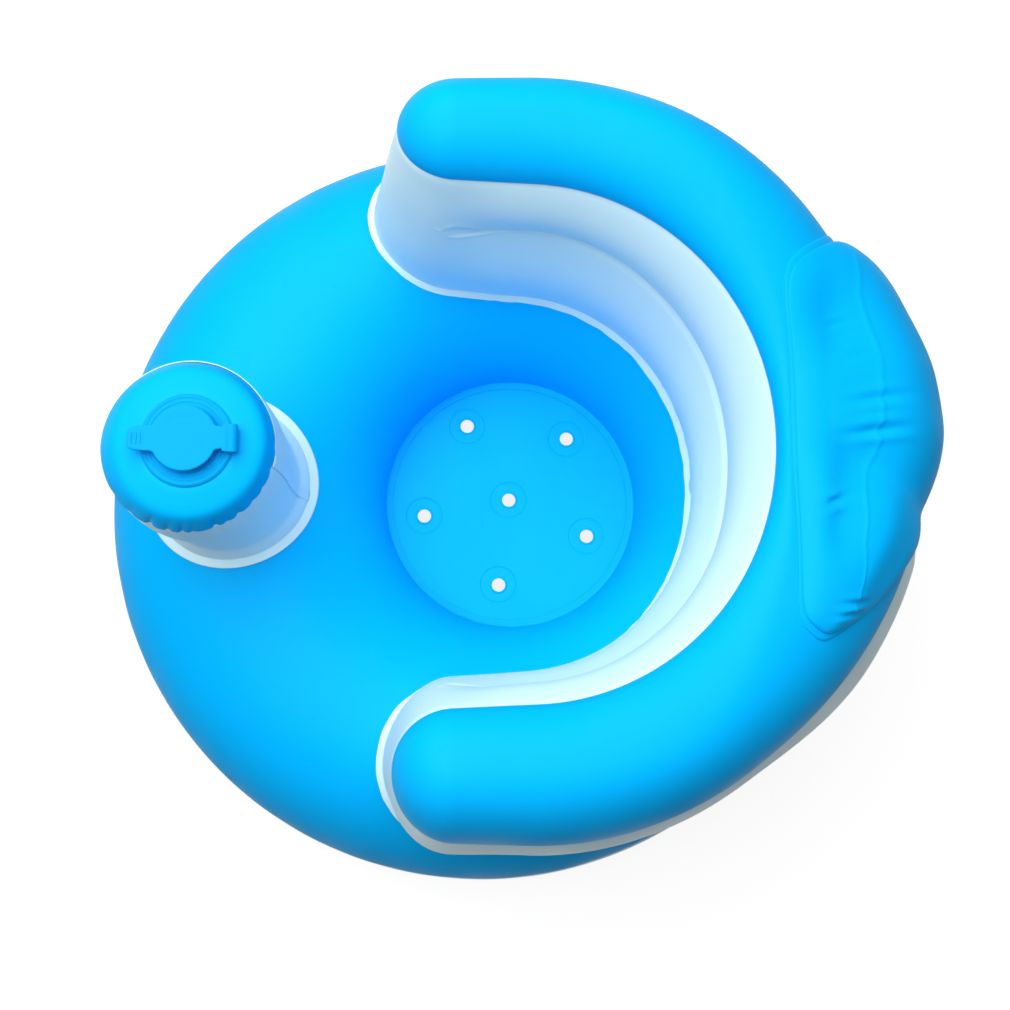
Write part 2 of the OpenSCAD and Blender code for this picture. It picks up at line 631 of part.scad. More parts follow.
// ---- post
post_stations = 28;
post_vs = [0, 0.12, 0.35, 0.65, 1];
function post_turn(s) = 360 * s / post_stations;
function post_foot(turn, r) = [0, post_y] + r * [cos(turn), sin(turn)];
function post_in_z(turn) = ring_lift_z(post_foot(turn, post_foot_r - skin));
function post_out_z(turn) = ring_lift_z(post_foot(turn, post_foot_r + post_weld));
function post_point(turn, v, i) =
    let (rise = mix(post_in_z(turn), post_out_z(turn), (skin - i) / (skin + post_weld)) + weld_t)
    let (low = [each post_foot(turn, post_foot_r - i), rise])
    let (high = leaning([(cap_r - i) * cos(turn), (cap_r - i) * sin(turn), post_len]))
    mix(low, high, v) + post_swell * sin(180 * v) * [cos(turn), sin(turn), 0];
module post_wall() {
    color("aliceblue") seat_frame() chain([for (s = [0:post_stations - 1]) concat(
        [for (v = post_vs) post_point(post_turn(s), v, skin)],
        [for (v = reverse(post_vs)) post_point(post_turn(s), v, 0)])]);
}
module post_side_seam() {
    a = seam_angle;
    b = a + side_seam_w / post_foot_r * 180 / PI;
    color("white") seat_frame() chain([for (v = [0.01, each [for (k = [1:len(post_vs) - 1]) post_vs[k]]])
        [post_point(a, v, -seam_stand), post_point(a, v, -seam_stand - skin),
            post_point(b, v, -seam_stand - skin), post_point(b, v, -seam_stand)]], false);
}
// the wall's station that the side seam starts from, as an angle
seam_angle = post_turn(6);
seam_stand = 0.2;
module post_foot_weld() {
    color("white") seat_frame() chain([for (s = [0:post_stations - 1])
        let (turn = post_turn(s), low = post_out_z(turn), high = post_in_z(turn))
        let (out = post_foot(turn, post_foot_r + post_weld), in = post_foot(turn, post_foot_r - skin))
        [[each in, high], [each in, high + weld_t], [each out, low + weld_t], [each out, low]]]);
}
cap_flat_r = 24.5;
cap_angles = [0, 15, 30, 45, 60, 75, 90];
cap_stations = 64;
// the cap's section set in by i, from the rim to the hole for the valve
function cap_side(i) = concat(
    arc(cap_flat_r, 0, cap_r - cap_flat_r - i, cap_dome - i, cap_angles), [[neck_r, cap_dome - i]]);
// the section's points at a turn round the post, moved back as far as they have risen
function cap_place(turn, i) = [for (p = cap_side(i))
    [p[0] * cos(turn), p[0] * sin(turn) + valve_back * p[1] / (cap_dome - i), p[1]]];
module post_cap() {
    color("deepskyblue") post_frame(post_len) chain([for (s = [0:cap_stations - 1])
        let (turn = 360 * s / cap_stations)
        concat(cap_place(turn, skin), reverse(cap_place(turn, 0)))]);
}

// ---- air valve: z is 0 at the underside of its flange, on top of the post cap
module valve_frame() { post_frame(post_len + cap_dome) translate([0, valve_back, 0]) children(); }
neck_top = valve_flange_t + neck_h;
ridge_rs = [17.6, 19.8, 22];
ridge_t = 0.4;
module valve_body() {
    color("dodgerblue") valve_frame() rotate_extrude() {
        translate([bore_r, -sleeve_depth]) square([neck_r - bore_r, sleeve_depth + neck_top]);
        translate([neck_r, 0]) square([valve_flange_r - neck_r, valve_flange_t]);
        for (r = ridge_rs)
            translate([r - ridge_t, valve_flange_t]) square([2 * ridge_t, ridge_t]);
    }
}
insert_t = 2;
insert_seat = 3;
hub_r = 4;
spoke_w = 2;
module valve_insert() {
    color("white") valve_frame() translate([0, 0, -seat_depth]) difference() {
        union() {
            difference() {
                cylinder(r = bore_r, h = insert_t);
                cylinder(r = bore_r - insert_seat, h = insert_t);
            }
            cylinder(r = hub_r, h = insert_t);
            for (turn = [0, 90])
                rotate(turn) translate([-bore_r + insert_seat / 2, -spoke_w / 2, 0])
                    cube([2 * bore_r - insert_seat, spoke_w, insert_t]);
        }
        cylinder(r = stem_r + stem_room, h = insert_t);
    }
}
bead_over = 1;
bead_t = 1;
module valve_flap() {
    color("whitesmoke") valve_frame() translate([0, 0, -seat_depth]) {
        translate([0, 0, -disc_t]) cylinder(r = disc_r, h = disc_t);
        cylinder(r = stem_r, h = insert_t + disc_drop);
        translate([0, 0, insert_t + disc_drop]) cylinder(r = stem_r + bead_over, h = bead_t);
    }
}
// the strap's fold is a half ring about the hinge's axis
fold_r = (neck_h + strap_t) / 2;
fold_y = fold_reach - fold_r;
fold_z = valve_flange_t + fold_r;
// length of the strap between the lid's rigid arm and the fold, and how far that arm is let into the lid
strap_free = 3;
arm_lap = 1;
lid_arm = fold_y - strap_free;
tab_root = 8;
// ridges on the finger tab: their number, pitch, length, width and height
grip_n = 3;
grip_pitch = 2.2;
grip_l = 6.5;
grip_w = 0.8;
grip_t = 0.4;
plug_t = 1.6;
module valve_lid() {
    color("dodgerblue") valve_frame() {
        translate([0, 0, neck_top]) {
            cylinder(r = lid_r, h = lid_t);
            difference() {
                translate([-strap_w / 2, 0, 0]) cube([strap_w, lid_arm, strap_t]);
                cylinder(r = lid_r - arm_lap, h = lid_t);
            }
            difference() {
                intersection() {
                    translate([-tab_w / 2, -tab_reach, 0]) cube([tab_w, tab_reach, lid_t]);
                    cylinder(r = tab_reach, h = lid_t);
                }
                cylinder(r = tab_root, h = lid_t);
            }
            for (k = [0:grip_n - 1])
                translate([-grip_l / 2, -tab_reach + (k + 1) * grip_pitch, lid_t])
                    cube([grip_l, grip_w, grip_t]);
        }
        translate([0, 0, neck_top - plug_depth]) difference() {
            cylinder(r = bore_r - plug_room, h = plug_depth);
            cylinder(r = bore_r - plug_room - plug_t, h = plug_depth);
        }
    }
}
strap_foot = 4;
// the strap is thinner along its fold
fold_t = 0.8;
module valve_strap() {
    color("dodgerblue") valve_frame() rotate([90, 0, 90]) translate([0, 0, -strap_w / 2])
        linear_extrude(strap_w) {
        translate([lid_arm, neck_top]) square([strap_free, strap_t]);
        translate([fold_y - strap_foot, valve_flange_t + ridge_t]) square([strap_foot, strap_t - ridge_t]);
        translate([fold_y, fold_z]) difference() {
            circle(fold_r);
            circle(fold_r - fold_t);
            translate([-2 * fold_r, -fold_r]) square(2 * fold_r);
        }
    }
}

base_top_skin();
base_bottom_skin();
base_seam_tape();
floor_sheet();
floor_backing();
drain_eyelets();
backrest_wall();
backrest_top_skin();
backrest_foot_weld();
backrest_tie_web();
pump_cover();
pump_weld_flange();
pump_foam();
pump_inlet_body();
pump_inlet_flap();
pump_outlet_body();
pump_outlet_flap();
post_wall();
post_side_seam();
post_foot_weld();
post_cap();
valve_body();
valve_insert();
valve_flap();
valve_lid();
valve_strap();
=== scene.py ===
import math
import bpy
import bmesh
from mathutils import Matrix, Vector, noise


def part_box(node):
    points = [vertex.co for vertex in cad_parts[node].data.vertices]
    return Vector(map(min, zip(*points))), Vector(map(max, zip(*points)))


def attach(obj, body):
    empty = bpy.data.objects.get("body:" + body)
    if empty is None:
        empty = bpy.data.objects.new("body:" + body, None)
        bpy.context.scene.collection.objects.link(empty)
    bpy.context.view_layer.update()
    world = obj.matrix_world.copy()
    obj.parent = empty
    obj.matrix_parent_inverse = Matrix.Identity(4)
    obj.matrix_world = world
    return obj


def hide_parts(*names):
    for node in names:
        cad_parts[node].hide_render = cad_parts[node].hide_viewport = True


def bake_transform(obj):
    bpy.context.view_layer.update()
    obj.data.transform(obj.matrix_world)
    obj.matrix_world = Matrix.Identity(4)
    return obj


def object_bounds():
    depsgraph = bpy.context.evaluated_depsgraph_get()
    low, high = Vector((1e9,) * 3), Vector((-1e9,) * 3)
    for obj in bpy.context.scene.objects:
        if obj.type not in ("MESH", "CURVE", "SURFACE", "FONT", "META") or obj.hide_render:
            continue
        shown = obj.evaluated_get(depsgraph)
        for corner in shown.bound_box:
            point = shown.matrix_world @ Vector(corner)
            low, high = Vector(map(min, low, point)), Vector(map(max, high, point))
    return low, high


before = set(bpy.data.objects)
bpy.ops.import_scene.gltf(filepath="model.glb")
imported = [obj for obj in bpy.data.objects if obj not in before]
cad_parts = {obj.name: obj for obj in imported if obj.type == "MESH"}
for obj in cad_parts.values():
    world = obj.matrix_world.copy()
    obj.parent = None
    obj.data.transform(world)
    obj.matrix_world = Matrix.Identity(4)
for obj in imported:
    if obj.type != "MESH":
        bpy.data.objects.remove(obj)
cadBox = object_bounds()
print("frame loaded")

# Sizes are in millimetres round the floor's centre, as in the part's source, and toFrame() turns
# them into metres in the frame.
vinyl = {
    "skin": 0.5,  # thickness of the inflated skins
    "weld": 0.8,  # thickness of the welded flanges
    "lay": 0.25,  # gap between a flange and the skin that it is welded to
}
ring = {
    "radius": 230, "offset": 18.5, "height": 122, "crownRadius": 158, "bellyHeight": 48,
    "restBand": 36, "lean": (3.3, 0.9),  # how far the soft ring lies off its centre
    "seamTurn": 6, "seamWander": 1.5,  # where the outer seam lies on the curve, in degrees
    "seamLift": 14, "liftAt": 60, "liftWidth": 38,  # where the white underside shows most
}
floor = {
    "radius": 79.4, "height": 40, "weldWidth": 4.4, "drainPitch": 55, "drainCount": 5,
    "drainTurn": -47, "drainOff": (-2.0, -1.0),  # the holes lie a little off the centre
}
floorY = cadBox[0][1] * 1000 + ring["radius"] + ring["offset"]


def mix(a, b, t):
    return a + (b - a) * t


def clamp(t):
    return min(1.0, max(0.0, t))


def soft(t):
    return clamp(t) ** 2 * (3 - 2 * clamp(t))


def cosOf(degrees):
    return math.cos(math.radians(degrees))


def sinOf(degrees):
    return math.sin(math.radians(degrees))


def bump(x, width):  # a smooth hump of height 1 at 0
    return math.exp(-(x / width) ** 2)


def wander(x, y, z, scale):  # smooth noise, the same in each run
    return noise.noise(Vector((x, y, z)) / scale)


def toFrame(p):
    return (p[0] / 1000, (p[1] + floorY) / 1000, p[2] / 1000)


# ---- shader groups
def makeGroup(name, inputs, outputs):
    group = bpy.data.node_groups.new(name, "ShaderNodeTree")
    for label, kind, value in inputs:
        group.interface.new_socket(label, in_out="INPUT", socket_type=kind).default_value = value
    for label, kind in outputs:
        group.interface.new_socket(label, in_out="OUTPUT", socket_type=kind)
    return group, group.nodes.new("NodeGroupInput"), group.nodes.new("NodeGroupOutput")


def feed(tree, value, socket):
    # a node's output is linked to the socket, and anything else becomes its value
    if isinstance(value, bpy.types.NodeSocket):
        tree.links.new(value, socket)
    else:
        socket.default_value = value


def addMath(tree, operation, *values):
    node = tree.nodes.new("ShaderNodeMath")
    node.operation = operation
    for socket, value in zip(node.inputs, values):
        feed(tree, value, socket)
    return node.outputs[0]


def addNoise(tree, vector, scale, detail, rough=0.5):
    node = tree.nodes.new("ShaderNodeTexNoise")
    for label, value in (("Vector", vector), ("Scale", scale), ("Detail", detail), ("Roughness", rough)):
        feed(tree, value, node.inputs[label])
    return node.outputs["Fac"]


def addRange(tree, value, low, high, toLow=0.0, toHigh=1.0):
    node = tree.nodes.new("ShaderNodeMapRange")
    labels = ("Value", "From Min", "From Max", "To Min", "To Max")
    for label, given in zip(labels, (value, low, high, toLow, toHigh)):
        feed(tree, given, node.inputs[label])
    return node.outputs["Result"]


def addTint(tree, fac, a, b):
    node = tree.nodes.new("ShaderNodeMix")
    node.data_type = "RGBA"
    for number, value in ((0, fac), (6, a), (7, b)):  # the factor and the two colours
        feed(tree, value, node.inputs[number])
    return node.outputs[2]


sheetLook = {  # scales in features per metre, then shares, swings of the gloss and depths
    "clouds": 28, "specks": 520, "pores": 1500, "ripples": 60, "cloudShare": 0.55, "speckShare": 0.45,
    "cloudGloss": (-0.05, 0.06), "speckGloss": (-0.03, 0.03),
    "cloudRange": (0.3, 0.7), "speckRange": (0.35, 0.65), "glossRange": (0.3, 0.7),
    "poreDepth": 0.3, "speckDepth": 0.7, "rippleDepth": 1.6, "relief": 0.35,
}
scuffLook = {
    "stretch": (9, 160, 40), "turn": (0.3, 0.2, 0.6), "rubs": (0.62, 0.8),
    "patchScale": 14, "patches": (0.5, 0.75), "dull": 0.3,
}
weldLook = {"spacing": 700, "depth": 0.8, "waver": 0.6}


def vinylGroup():
    # the colour, gloss and calendered grain of plasticised sheet
    tree, given, out = makeGroup("vinylSheet", [
        ("Colour", "NodeSocketColor", (0.5, 0.5, 0.5, 1)),
        ("Deep Colour", "NodeSocketColor", (0.4, 0.4, 0.4, 1)),
        ("Mottle", "NodeSocketFloat", 0.3),
        ("Roughness", "NodeSocketFloat", 0.4),
        ("Grain", "NodeSocketFloat", 0.5),
    ], [("Colour", "NodeSocketColor"), ("Roughness", "NodeSocketFloat"), ("Height", "NodeSocketFloat")])
    place = tree.nodes.new("ShaderNodeTexCoord").outputs["Object"]
    clouds = addNoise(tree, place, sheetLook["clouds"], 3)
    specks = addNoise(tree, place, sheetLook["specks"], 2, 0.6)
    pores = tree.nodes.new("ShaderNodeTexVoronoi")
    pores.inputs["Scale"].default_value = sheetLook["pores"]
    feed(tree, place, pores.inputs["Vector"])
    ripple = addNoise(tree, place, sheetLook["ripples"], 2)
    patchy = addRange(tree, clouds, *sheetLook["cloudRange"])
    speckled = addRange(tree, specks, *sheetLook["speckRange"])
    speckled = addMath(tree, "MULTIPLY", speckled, sheetLook["speckShare"])
    shade = addMath(tree, "MULTIPLY_ADD", patchy, sheetLook["cloudShare"], speckled)
    shade = addMath(tree, "MULTIPLY", shade, given.outputs["Mottle"])
    tint = addTint(tree, shade, given.outputs["Colour"], given.outputs["Deep Colour"])
    feed(tree, tint, out.inputs["Colour"])
    gloss = given.outputs["Roughness"]
    for spots, swing in ((clouds, sheetLook["cloudGloss"]), (specks, sheetLook["speckGloss"])):
        gloss = addMath(tree, "ADD", gloss, addRange(tree, spots, *sheetLook["glossRange"], *swing))
    feed(tree, gloss, out.inputs["Roughness"])
    grain = addMath(tree, "MULTIPLY", specks, sheetLook["speckDepth"])
    grain = addMath(tree, "MULTIPLY_ADD", pores.outputs["Distance"], sheetLook["poreDepth"], grain)
    fine = addMath(tree, "MULTIPLY", grain, given.outputs["Grain"])
    feed(tree, addMath(tree, "MULTIPLY_ADD", ripple, sheetLook["rippleDepth"], fine), out.inputs["Height"])
    return tree


def scuffGroup():
    # dust in a few patches and faint rub marks, which make the sheet paler and duller
    tree, given, out = makeGroup("dustAndScuffs", [
        ("Colour", "NodeSocketColor", (0.5, 0.5, 0.5, 1)),
        ("Dust Colour", "NodeSocketColor", (0.8, 0.85, 0.9, 1)),
        ("Amount", "NodeSocketFloat", 0.1),
        ("Roughness", "NodeSocketFloat", 0.4),
    ], [("Colour", "NodeSocketColor"), ("Roughness", "NodeSocketFloat"), ("Mask", "NodeSocketFloat")])
    place = tree.nodes.new("ShaderNodeTexCoord").outputs["Object"]
    stretch = tree.nodes.new("ShaderNodeMapping")
    stretch.inputs["Scale"].default_value = scuffLook["stretch"]
    stretch.inputs["Rotation"].default_value = scuffLook["turn"]
    feed(tree, place, stretch.inputs["Vector"])
    rubs = addRange(tree, addNoise(tree, stretch.outputs["Vector"], 1, 3), *scuffLook["rubs"])
    patches = addRange(tree, addNoise(tree, place, scuffLook["patchScale"], 4), *scuffLook["patches"])
    mask = addMath(tree, "MULTIPLY", addMath(tree, "MAXIMUM", rubs, patches), given.outputs["Amount"])
    tint = addTint(tree, mask, given.outputs["Colour"], given.outputs["Dust Colour"])
    feed(tree, tint, out.inputs["Colour"])
    dull = addMath(tree, "MULTIPLY_ADD", mask, scuffLook["dull"], given.outputs["Roughness"])
    feed(tree, dull, out.inputs["Roughness"])
    feed(tree, mask, out.inputs["Mask"])
    return tree


def weldGroup():
    # the fine ribs that a heated bar presses into a weld
    tree, given, out = makeGroup("weldPress", [
        ("Spacing", "NodeSocketFloat", 900.0), ("Depth", "NodeSocketFloat", 0.5),
    ], [("Height", "NodeSocketFloat")])
    place = tree.nodes.new("ShaderNodeTexCoord").outputs["Object"]
    heights = []
    for direction in ("X", "Y"):
        wave = tree.nodes.new("ShaderNodeTexWave")
        wave.bands_direction = direction
        wave.inputs["Distortion"].default_value = weldLook["waver"]
        feed(tree, given.outputs["Spacing"], wave.inputs["Scale"])
        feed(tree, place, wave.inputs["Vector"])
        heights.append(wave.outputs["Fac"])
    both = addMath(tree, "ADD", *heights)
    feed(tree, addMath(tree, "MULTIPLY", both, given.outputs["Depth"]), out.inputs["Height"])
    return tree


groups = {"vinyl": vinylGroup(), "scuff": scuffGroup(), "weld": weldGroup()}


def placeGroup(tree, key, values):
    node = tree.nodes.new("ShaderNodeGroup")
    node.node_tree = groups[key]
    for label, value in values.items():
        feed(tree, value, node.inputs[label])
    return node.outputs


def makeMaterial(name, colour, deep, roughness, mottle=0.3, grain=0.5, dust=0.1, specular=0.03, press=None,
                 paler=0.02, bumpDepth=0.00004):
    material = bpy.data.materials.new(name)
    material.use_nodes = True
    tree = material.node_tree
    shader = tree.nodes["Principled BSDF"]
    sheet = placeGroup(tree, "vinyl", {
        "Colour": (*colour, 1), "Deep Colour": (*deep, 1), "Mottle": mottle, "Roughness": roughness,
        "Grain": grain})
    dusty = placeGroup(tree, "scuff", {
        "Colour": sheet["Colour"], "Dust Colour": tuple(mix(c, 1, paler) for c in colour) + (1,),
        "Amount": dust, "Roughness": sheet["Roughness"]})
    height = sheet["Height"]
    if press:
        ribs = placeGroup(tree, "weld", {"Spacing": press, "Depth": weldLook["depth"]})
        height = addMath(tree, "ADD", height, ribs["Height"])
    relief = tree.nodes.new("ShaderNodeBump")
    relief.inputs["Strength"].default_value = sheetLook["relief"]
    relief.inputs["Distance"].default_value = bumpDepth
    feed(tree, height, relief.inputs["Height"])
    feed(tree, relief.outputs["Normal"], shader.inputs["Normal"])
    feed(tree, dusty["Colour"], shader.inputs["Base Color"])
    feed(tree, dusty["Roughness"], shader.inputs["Roughness"])
    shader.inputs["Specular IOR Level"].default_value = specular
    return material


finish = {
    "blue": (0.0008, 0.450, 0.980), "blueDeep": (0.0005, 0.415, 0.940),
    "white": (0.63, 0.87, 0.96), "whiteDeep": (0.59, 0.84, 0.94),
    "moulding": (0.0010, 0.365, 0.830), "mouldingDeep": (0.0008, 0.34, 0.79),
    "plain": (0.74, 0.79, 0.83), "plainDeep": (0.68, 0.73, 0.77),
    "rubber": (0.55, 0.56, 0.57), "rubberDeep": (0.46, 0.47, 0.48),
    "foam": (0.62, 0.64, 0.66), "foamDeep": (0.38, 0.4, 0.42),
}
blueVinyl = makeMaterial("blueVinyl", finish["blue"], finish["blueDeep"], 0.44)
blueWeld = makeMaterial("blueWeld", finish["blue"], finish["blueDeep"], 0.4, grain=0.3,
                        press=weldLook["spacing"])
whiteVinyl = makeMaterial("whiteVinyl", finish["white"], finish["whiteDeep"], 0.42, specular=0.2, paler=0.3)
whiteWeld = makeMaterial("whiteWeld", finish["white"], finish["whiteDeep"], 0.38, specular=0.25,
                         press=weldLook["spacing"], paler=0.3)
blueMoulding = makeMaterial("blueMoulding", finish["moulding"], finish["mouldingDeep"], 0.36, mottle=0.2,
                            grain=0.25, bumpDepth=0.00002)
whiteMoulding = makeMaterial("whiteMoulding", finish["plain"], finish["plainDeep"], 0.35, mottle=0.2,
                             grain=0.25, specular=0.4, paler=0.2, bumpDepth=0.00002)
flapRubber = makeMaterial("flapRubber", finish["rubber"], finish["rubberDeep"], 0.55, mottle=0.4,
                          specular=0.3, paler=0.2)
foamCore = makeMaterial("foamCore", finish["foam"], finish["foamDeep"], 0.9, mottle=0.9, grain=2.5,
                        paler=0.2, bumpDepth=0.0003)
print("materials made")


# ---- meshes
def gridFaces(rows, cols, loopRows=False, loopCols=False, flip=False, first=0):
    faces = []
    for r in range(rows if loopRows else rows - 1):
        for c in range(cols if loopCols else cols - 1):
            here, there = first + r * cols, first + (r + 1) % rows * cols
            a, b, d, e = here + c, here + (c + 1) % cols, there + c, there + (c + 1) % cols
            faces.append((a, d, e, b) if flip else (a, b, e, d))
    return faces


def fanFaces(rows, cols, middle, loop=True, flip=False, first=0):
    # triangles from the last point of each row to one point in the middle
    faces = []
    for r in range(rows if loop else rows - 1):
        a, b = (first + k * cols + cols - 1 for k in (r, (r + 1) % rows))
        faces.append((b, a, middle) if flip else (a, b, middle))
    return faces


def placeObject(name, data):
    placed = bpy.data.objects.new(name, data)
    bpy.context.scene.collection.objects.link(placed)
    return placed


def addPiece(name, points, faces, material, slot, stands=(), body="seat", soften=1, thick=0.0, weld=False,
             closed=False):
    mesh = bpy.data.meshes.new(name)
    mesh.from_pydata([toFrame(p) for p in points], [], faces)
    if weld or closed:
        work = bmesh.new()
        work.from_mesh(mesh)
        if weld:
            bmesh.ops.remove_doubles(work, verts=work.verts, dist=0.00002)
        if closed:
            bmesh.ops.recalc_face_normals(work, faces=work.faces)
        work.to_mesh(mesh)
        work.free()
    mesh.validate()
    mesh.polygons.foreach_set("use_smooth", [True] * len(mesh.polygons))
    mesh.materials.append(material)
    piece = placeObject(name, mesh)
    if soften:
        subdivide = piece.modifiers.new("soften", "SUBSURF")
        subdivide.levels = subdivide.render_levels = soften
        subdivide.boundary_smooth = "PRESERVE_CORNERS"
    if thick:
        solid = piece.modifiers.new("sheetThickness", "SOLIDIFY")
        solid.thickness = thick / 1000
        solid.offset = -1
    if body:
        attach(piece, body)
    if stands:
        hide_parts(*stands)
    return piece


def addGrid(name, rows, material, slot, loopRows=False, flip=False, **more):
    points = [p for row in rows for p in row]
    faces = gridFaces(len(rows), len(rows[0]), loopRows, flip=flip)
    return addPiece(name, points, faces, material, slot, **more)


# ---- base ring
def ringFoot(a):
    return Vector((floor["radius"] * cosOf(a), floor["radius"] * sinOf(a)))


def ringSeam(a):
    lean = ring["lean"]
    return Vector((ring["radius"] * cosOf(a) + lean[0], ring["radius"] * sinOf(a) - ring["offset"] + lean[1]))


crownShare = (ring["crownRadius"] - floor["radius"]) / (ring["radius"] - floor["radius"])


def ringAt(a, across):
    foot, seam = ringFoot(a), ringSeam(a)
    return foot + (seam - foot) * across / (seam - foot).length


def ringShareOf(x, y):
    # share of the way from the ring's foot to its widest place, for a place on the plan
    grow = ring["radius"] - floor["radius"]
    cx, cy = ring["lean"][0], ring["lean"][1] - ring["offset"]
    a = grow * grow - cx * cx - cy * cy
    b = 2 * (floor["radius"] * grow + x * cx + y * cy)
    c = floor["radius"] ** 2 - x * x - y * y
    return (math.sqrt(b * b - 4 * a * c) - b) / (2 * a)


def ringZ(x, y):
    u = ringShareOf(x, y)
    low = floor["height"] + vinyl["skin"]
    if u < crownShare:
        inside = (crownShare - u) / crownShare
        return low + (ring["height"] - low) * math.sqrt(max(0, 1 - inside * inside))
    outside = (u - crownShare) / (1 - crownShare)
    return ring["bellyHeight"] + (ring["height"] - ring["bellyHeight"]) * math.sqrt(max(0, 1 - outside ** 2))


def ringLiftZ(x, y):
    far = math.hypot(x, y)
    slope = ringZ(x * (1 + 1 / far), y * (1 + 1 / far)) - ringZ(x, y)
    return ringZ(x, y) + vinyl["lay"] * math.hypot(1, slope)


ringMesh = {
    "stations": 216, "footSteps": 22, "shoulderSteps": 16, "bellySteps": 7, "underSteps": 14,
    "footRim": [(-2.6, 0), (-1.1, -0.1), (-0.3, 0)],  # out from the ring's foot, and up from the sheet
    "seamGroove": 0.7, "grooveAbove": 0.07, "grooveBelow": 0.3, "pucker": 0.35, "puckerCount": 70,
    "tapeThick": 0.4, "tapeInset": 1.2, "tapeTurns": (7, 4, 0, -3, -5), "sheetDrop": 1.5,
}


def seamTurnAt(a):
    # the seam wanders up and down a little on its way round
    return (ring["seamTurn"] + ring["seamWander"] * sinOf(3 * a)
            + ring["seamLift"] * bump(a - ring["liftAt"], ring["liftWidth"]))


def puckerAt(a, count, share):
    # small folds that run across a seam and die out away from it
    return wander(cosOf(a) * count / 6, sinOf(a) * count / 6, 3.7, 1.0) * share


def ringWidth(a):
    return (ringSeam(a) - ringFoot(a)).length


def bellyPlace(w, turn, dip):
    # a place on the outer curve, from the widest place at 0 to the crown at 90
    c, belly = crownShare * w, ring["bellyHeight"]
    return c + (w - c - dip) * cosOf(turn), belly + (ring["height"] - belly - dip) * sinOf(turn)


def seamDip(a, share, power, run):
    # the groove at the seam, with the puckers that run across it
    fold = puckerAt(a, ringMesh["puckerCount"], ringMesh["pucker"] * share ** power)
    return ringMesh["seamGroove"] * max(0, (share - 1 + run) / run) ** 2 - fold


def ringTopPath(a):
    w = ringWidth(a)
    c = crownShare * w
    low = floor["height"] + vinyl["skin"]
    path = [(-floor["weldWidth"], low), (-floor["weldWidth"] + 0.5, low)]
    path += [(across, low + up) for across, up in ringMesh["footRim"]]
    for k in range(ringMesh["footSteps"]):
        turn = 180 - 90 * k / ringMesh["footSteps"]
        path.append((c + c * cosOf(turn), low + (ring["height"] - low) * sinOf(turn)))
    for k in range(ringMesh["shoulderSteps"] + 1):
        share = k / ringMesh["shoulderSteps"]
        dip = seamDip(a, share, 4, ringMesh["grooveAbove"])
        path.append(bellyPlace(w, mix(90, seamTurnAt(a), share), dip))
    return path


def ringUnderPath(a):
    w = ringWidth(a)
    c = crownShare * w
    near, far = c - ring["restBand"] / 2, c + ring["restBand"] / 2
    low = floor["height"] - ringMesh["sheetDrop"]
    steps, path = ringMesh["underSteps"], []
    for k in range(ringMesh["bellySteps"]):
        share = 1 - k / ringMesh["bellySteps"]
        dip = seamDip(a + 1, share, 2, ringMesh["grooveBelow"])
        path.append(bellyPlace(w, seamTurnAt(a) * share, dip))
    for k in range(steps + 1):
        turn = 90 * k / steps
        path.append((far + (w - far) * cosOf(turn), ring["bellyHeight"] * (1 - sinOf(turn))))
    path.append((c, 0))
    for k in range(steps + 1):
        turn = 90 - 90 * k / steps
        path.append((near - near * cosOf(turn), low - low * sinOf(turn)))
    return path + [(-floor["weldWidth"], low)]


def ringRows(path):
    rows = []
    for s in range(ringMesh["stations"]):
        a = 360 * s / ringMesh["stations"]
        rows.append([(*ringAt(a, across), up) for across, up in path(a)])
    return rows


def ringTapePath(a):
    return [bellyPlace(ringWidth(a), seamTurnAt(a) + k, ringMesh["tapeInset"]) for k in ringMesh["tapeTurns"]]


addGrid("ringTop", ringRows(ringTopPath), blueVinyl, "blue_vinyl", loopRows=True, thick=vinyl["skin"],
        stands=["base_top_skin"])
addGrid("ringUnder", ringRows(ringUnderPath), whiteVinyl, "white_vinyl", loopRows=True, thick=vinyl["skin"],
        stands=["base_bottom_skin"])
addGrid("ringTape", ringRows(ringTapePath), whiteWeld, "white_vinyl", loopRows=True,
        thick=ringMesh["tapeThick"], stands=["base_seam_tape"])
print("base ring made")


# ---- seat floor
def drainPlaces():
    x, y = floor["drainOff"]
    places = [(x, y)]
    for k in range(floor["drainCount"]):
        turn = floor["drainTurn"] + 360 * k / floor["drainCount"]
        places.append((x + floor["drainPitch"] * sinOf(turn), y + floor["drainPitch"] * cosOf(turn)))
    return places


floorMesh = {
    "rimSteps": 160, "eyeletSteps": 48, "latheSteps": 64, "plainRadius": 73.5, "openRadius": 12.2,
    "openRim": (0, 0.4, 0.8), "backingDrop": 1.0, "backingRadius": 79.6,
    "rim": [(73.5, 0), (74.2, 0.0), (74.7, -0.05), (75.2, -0.15), (79.6, -0.2)],  # over the ring's weld
}


def circleOf(cx, cy, r, steps):
    return [(cx + r * cosOf(360 * k / steps), cy + r * sinOf(360 * k / steps)) for k in range(steps)]


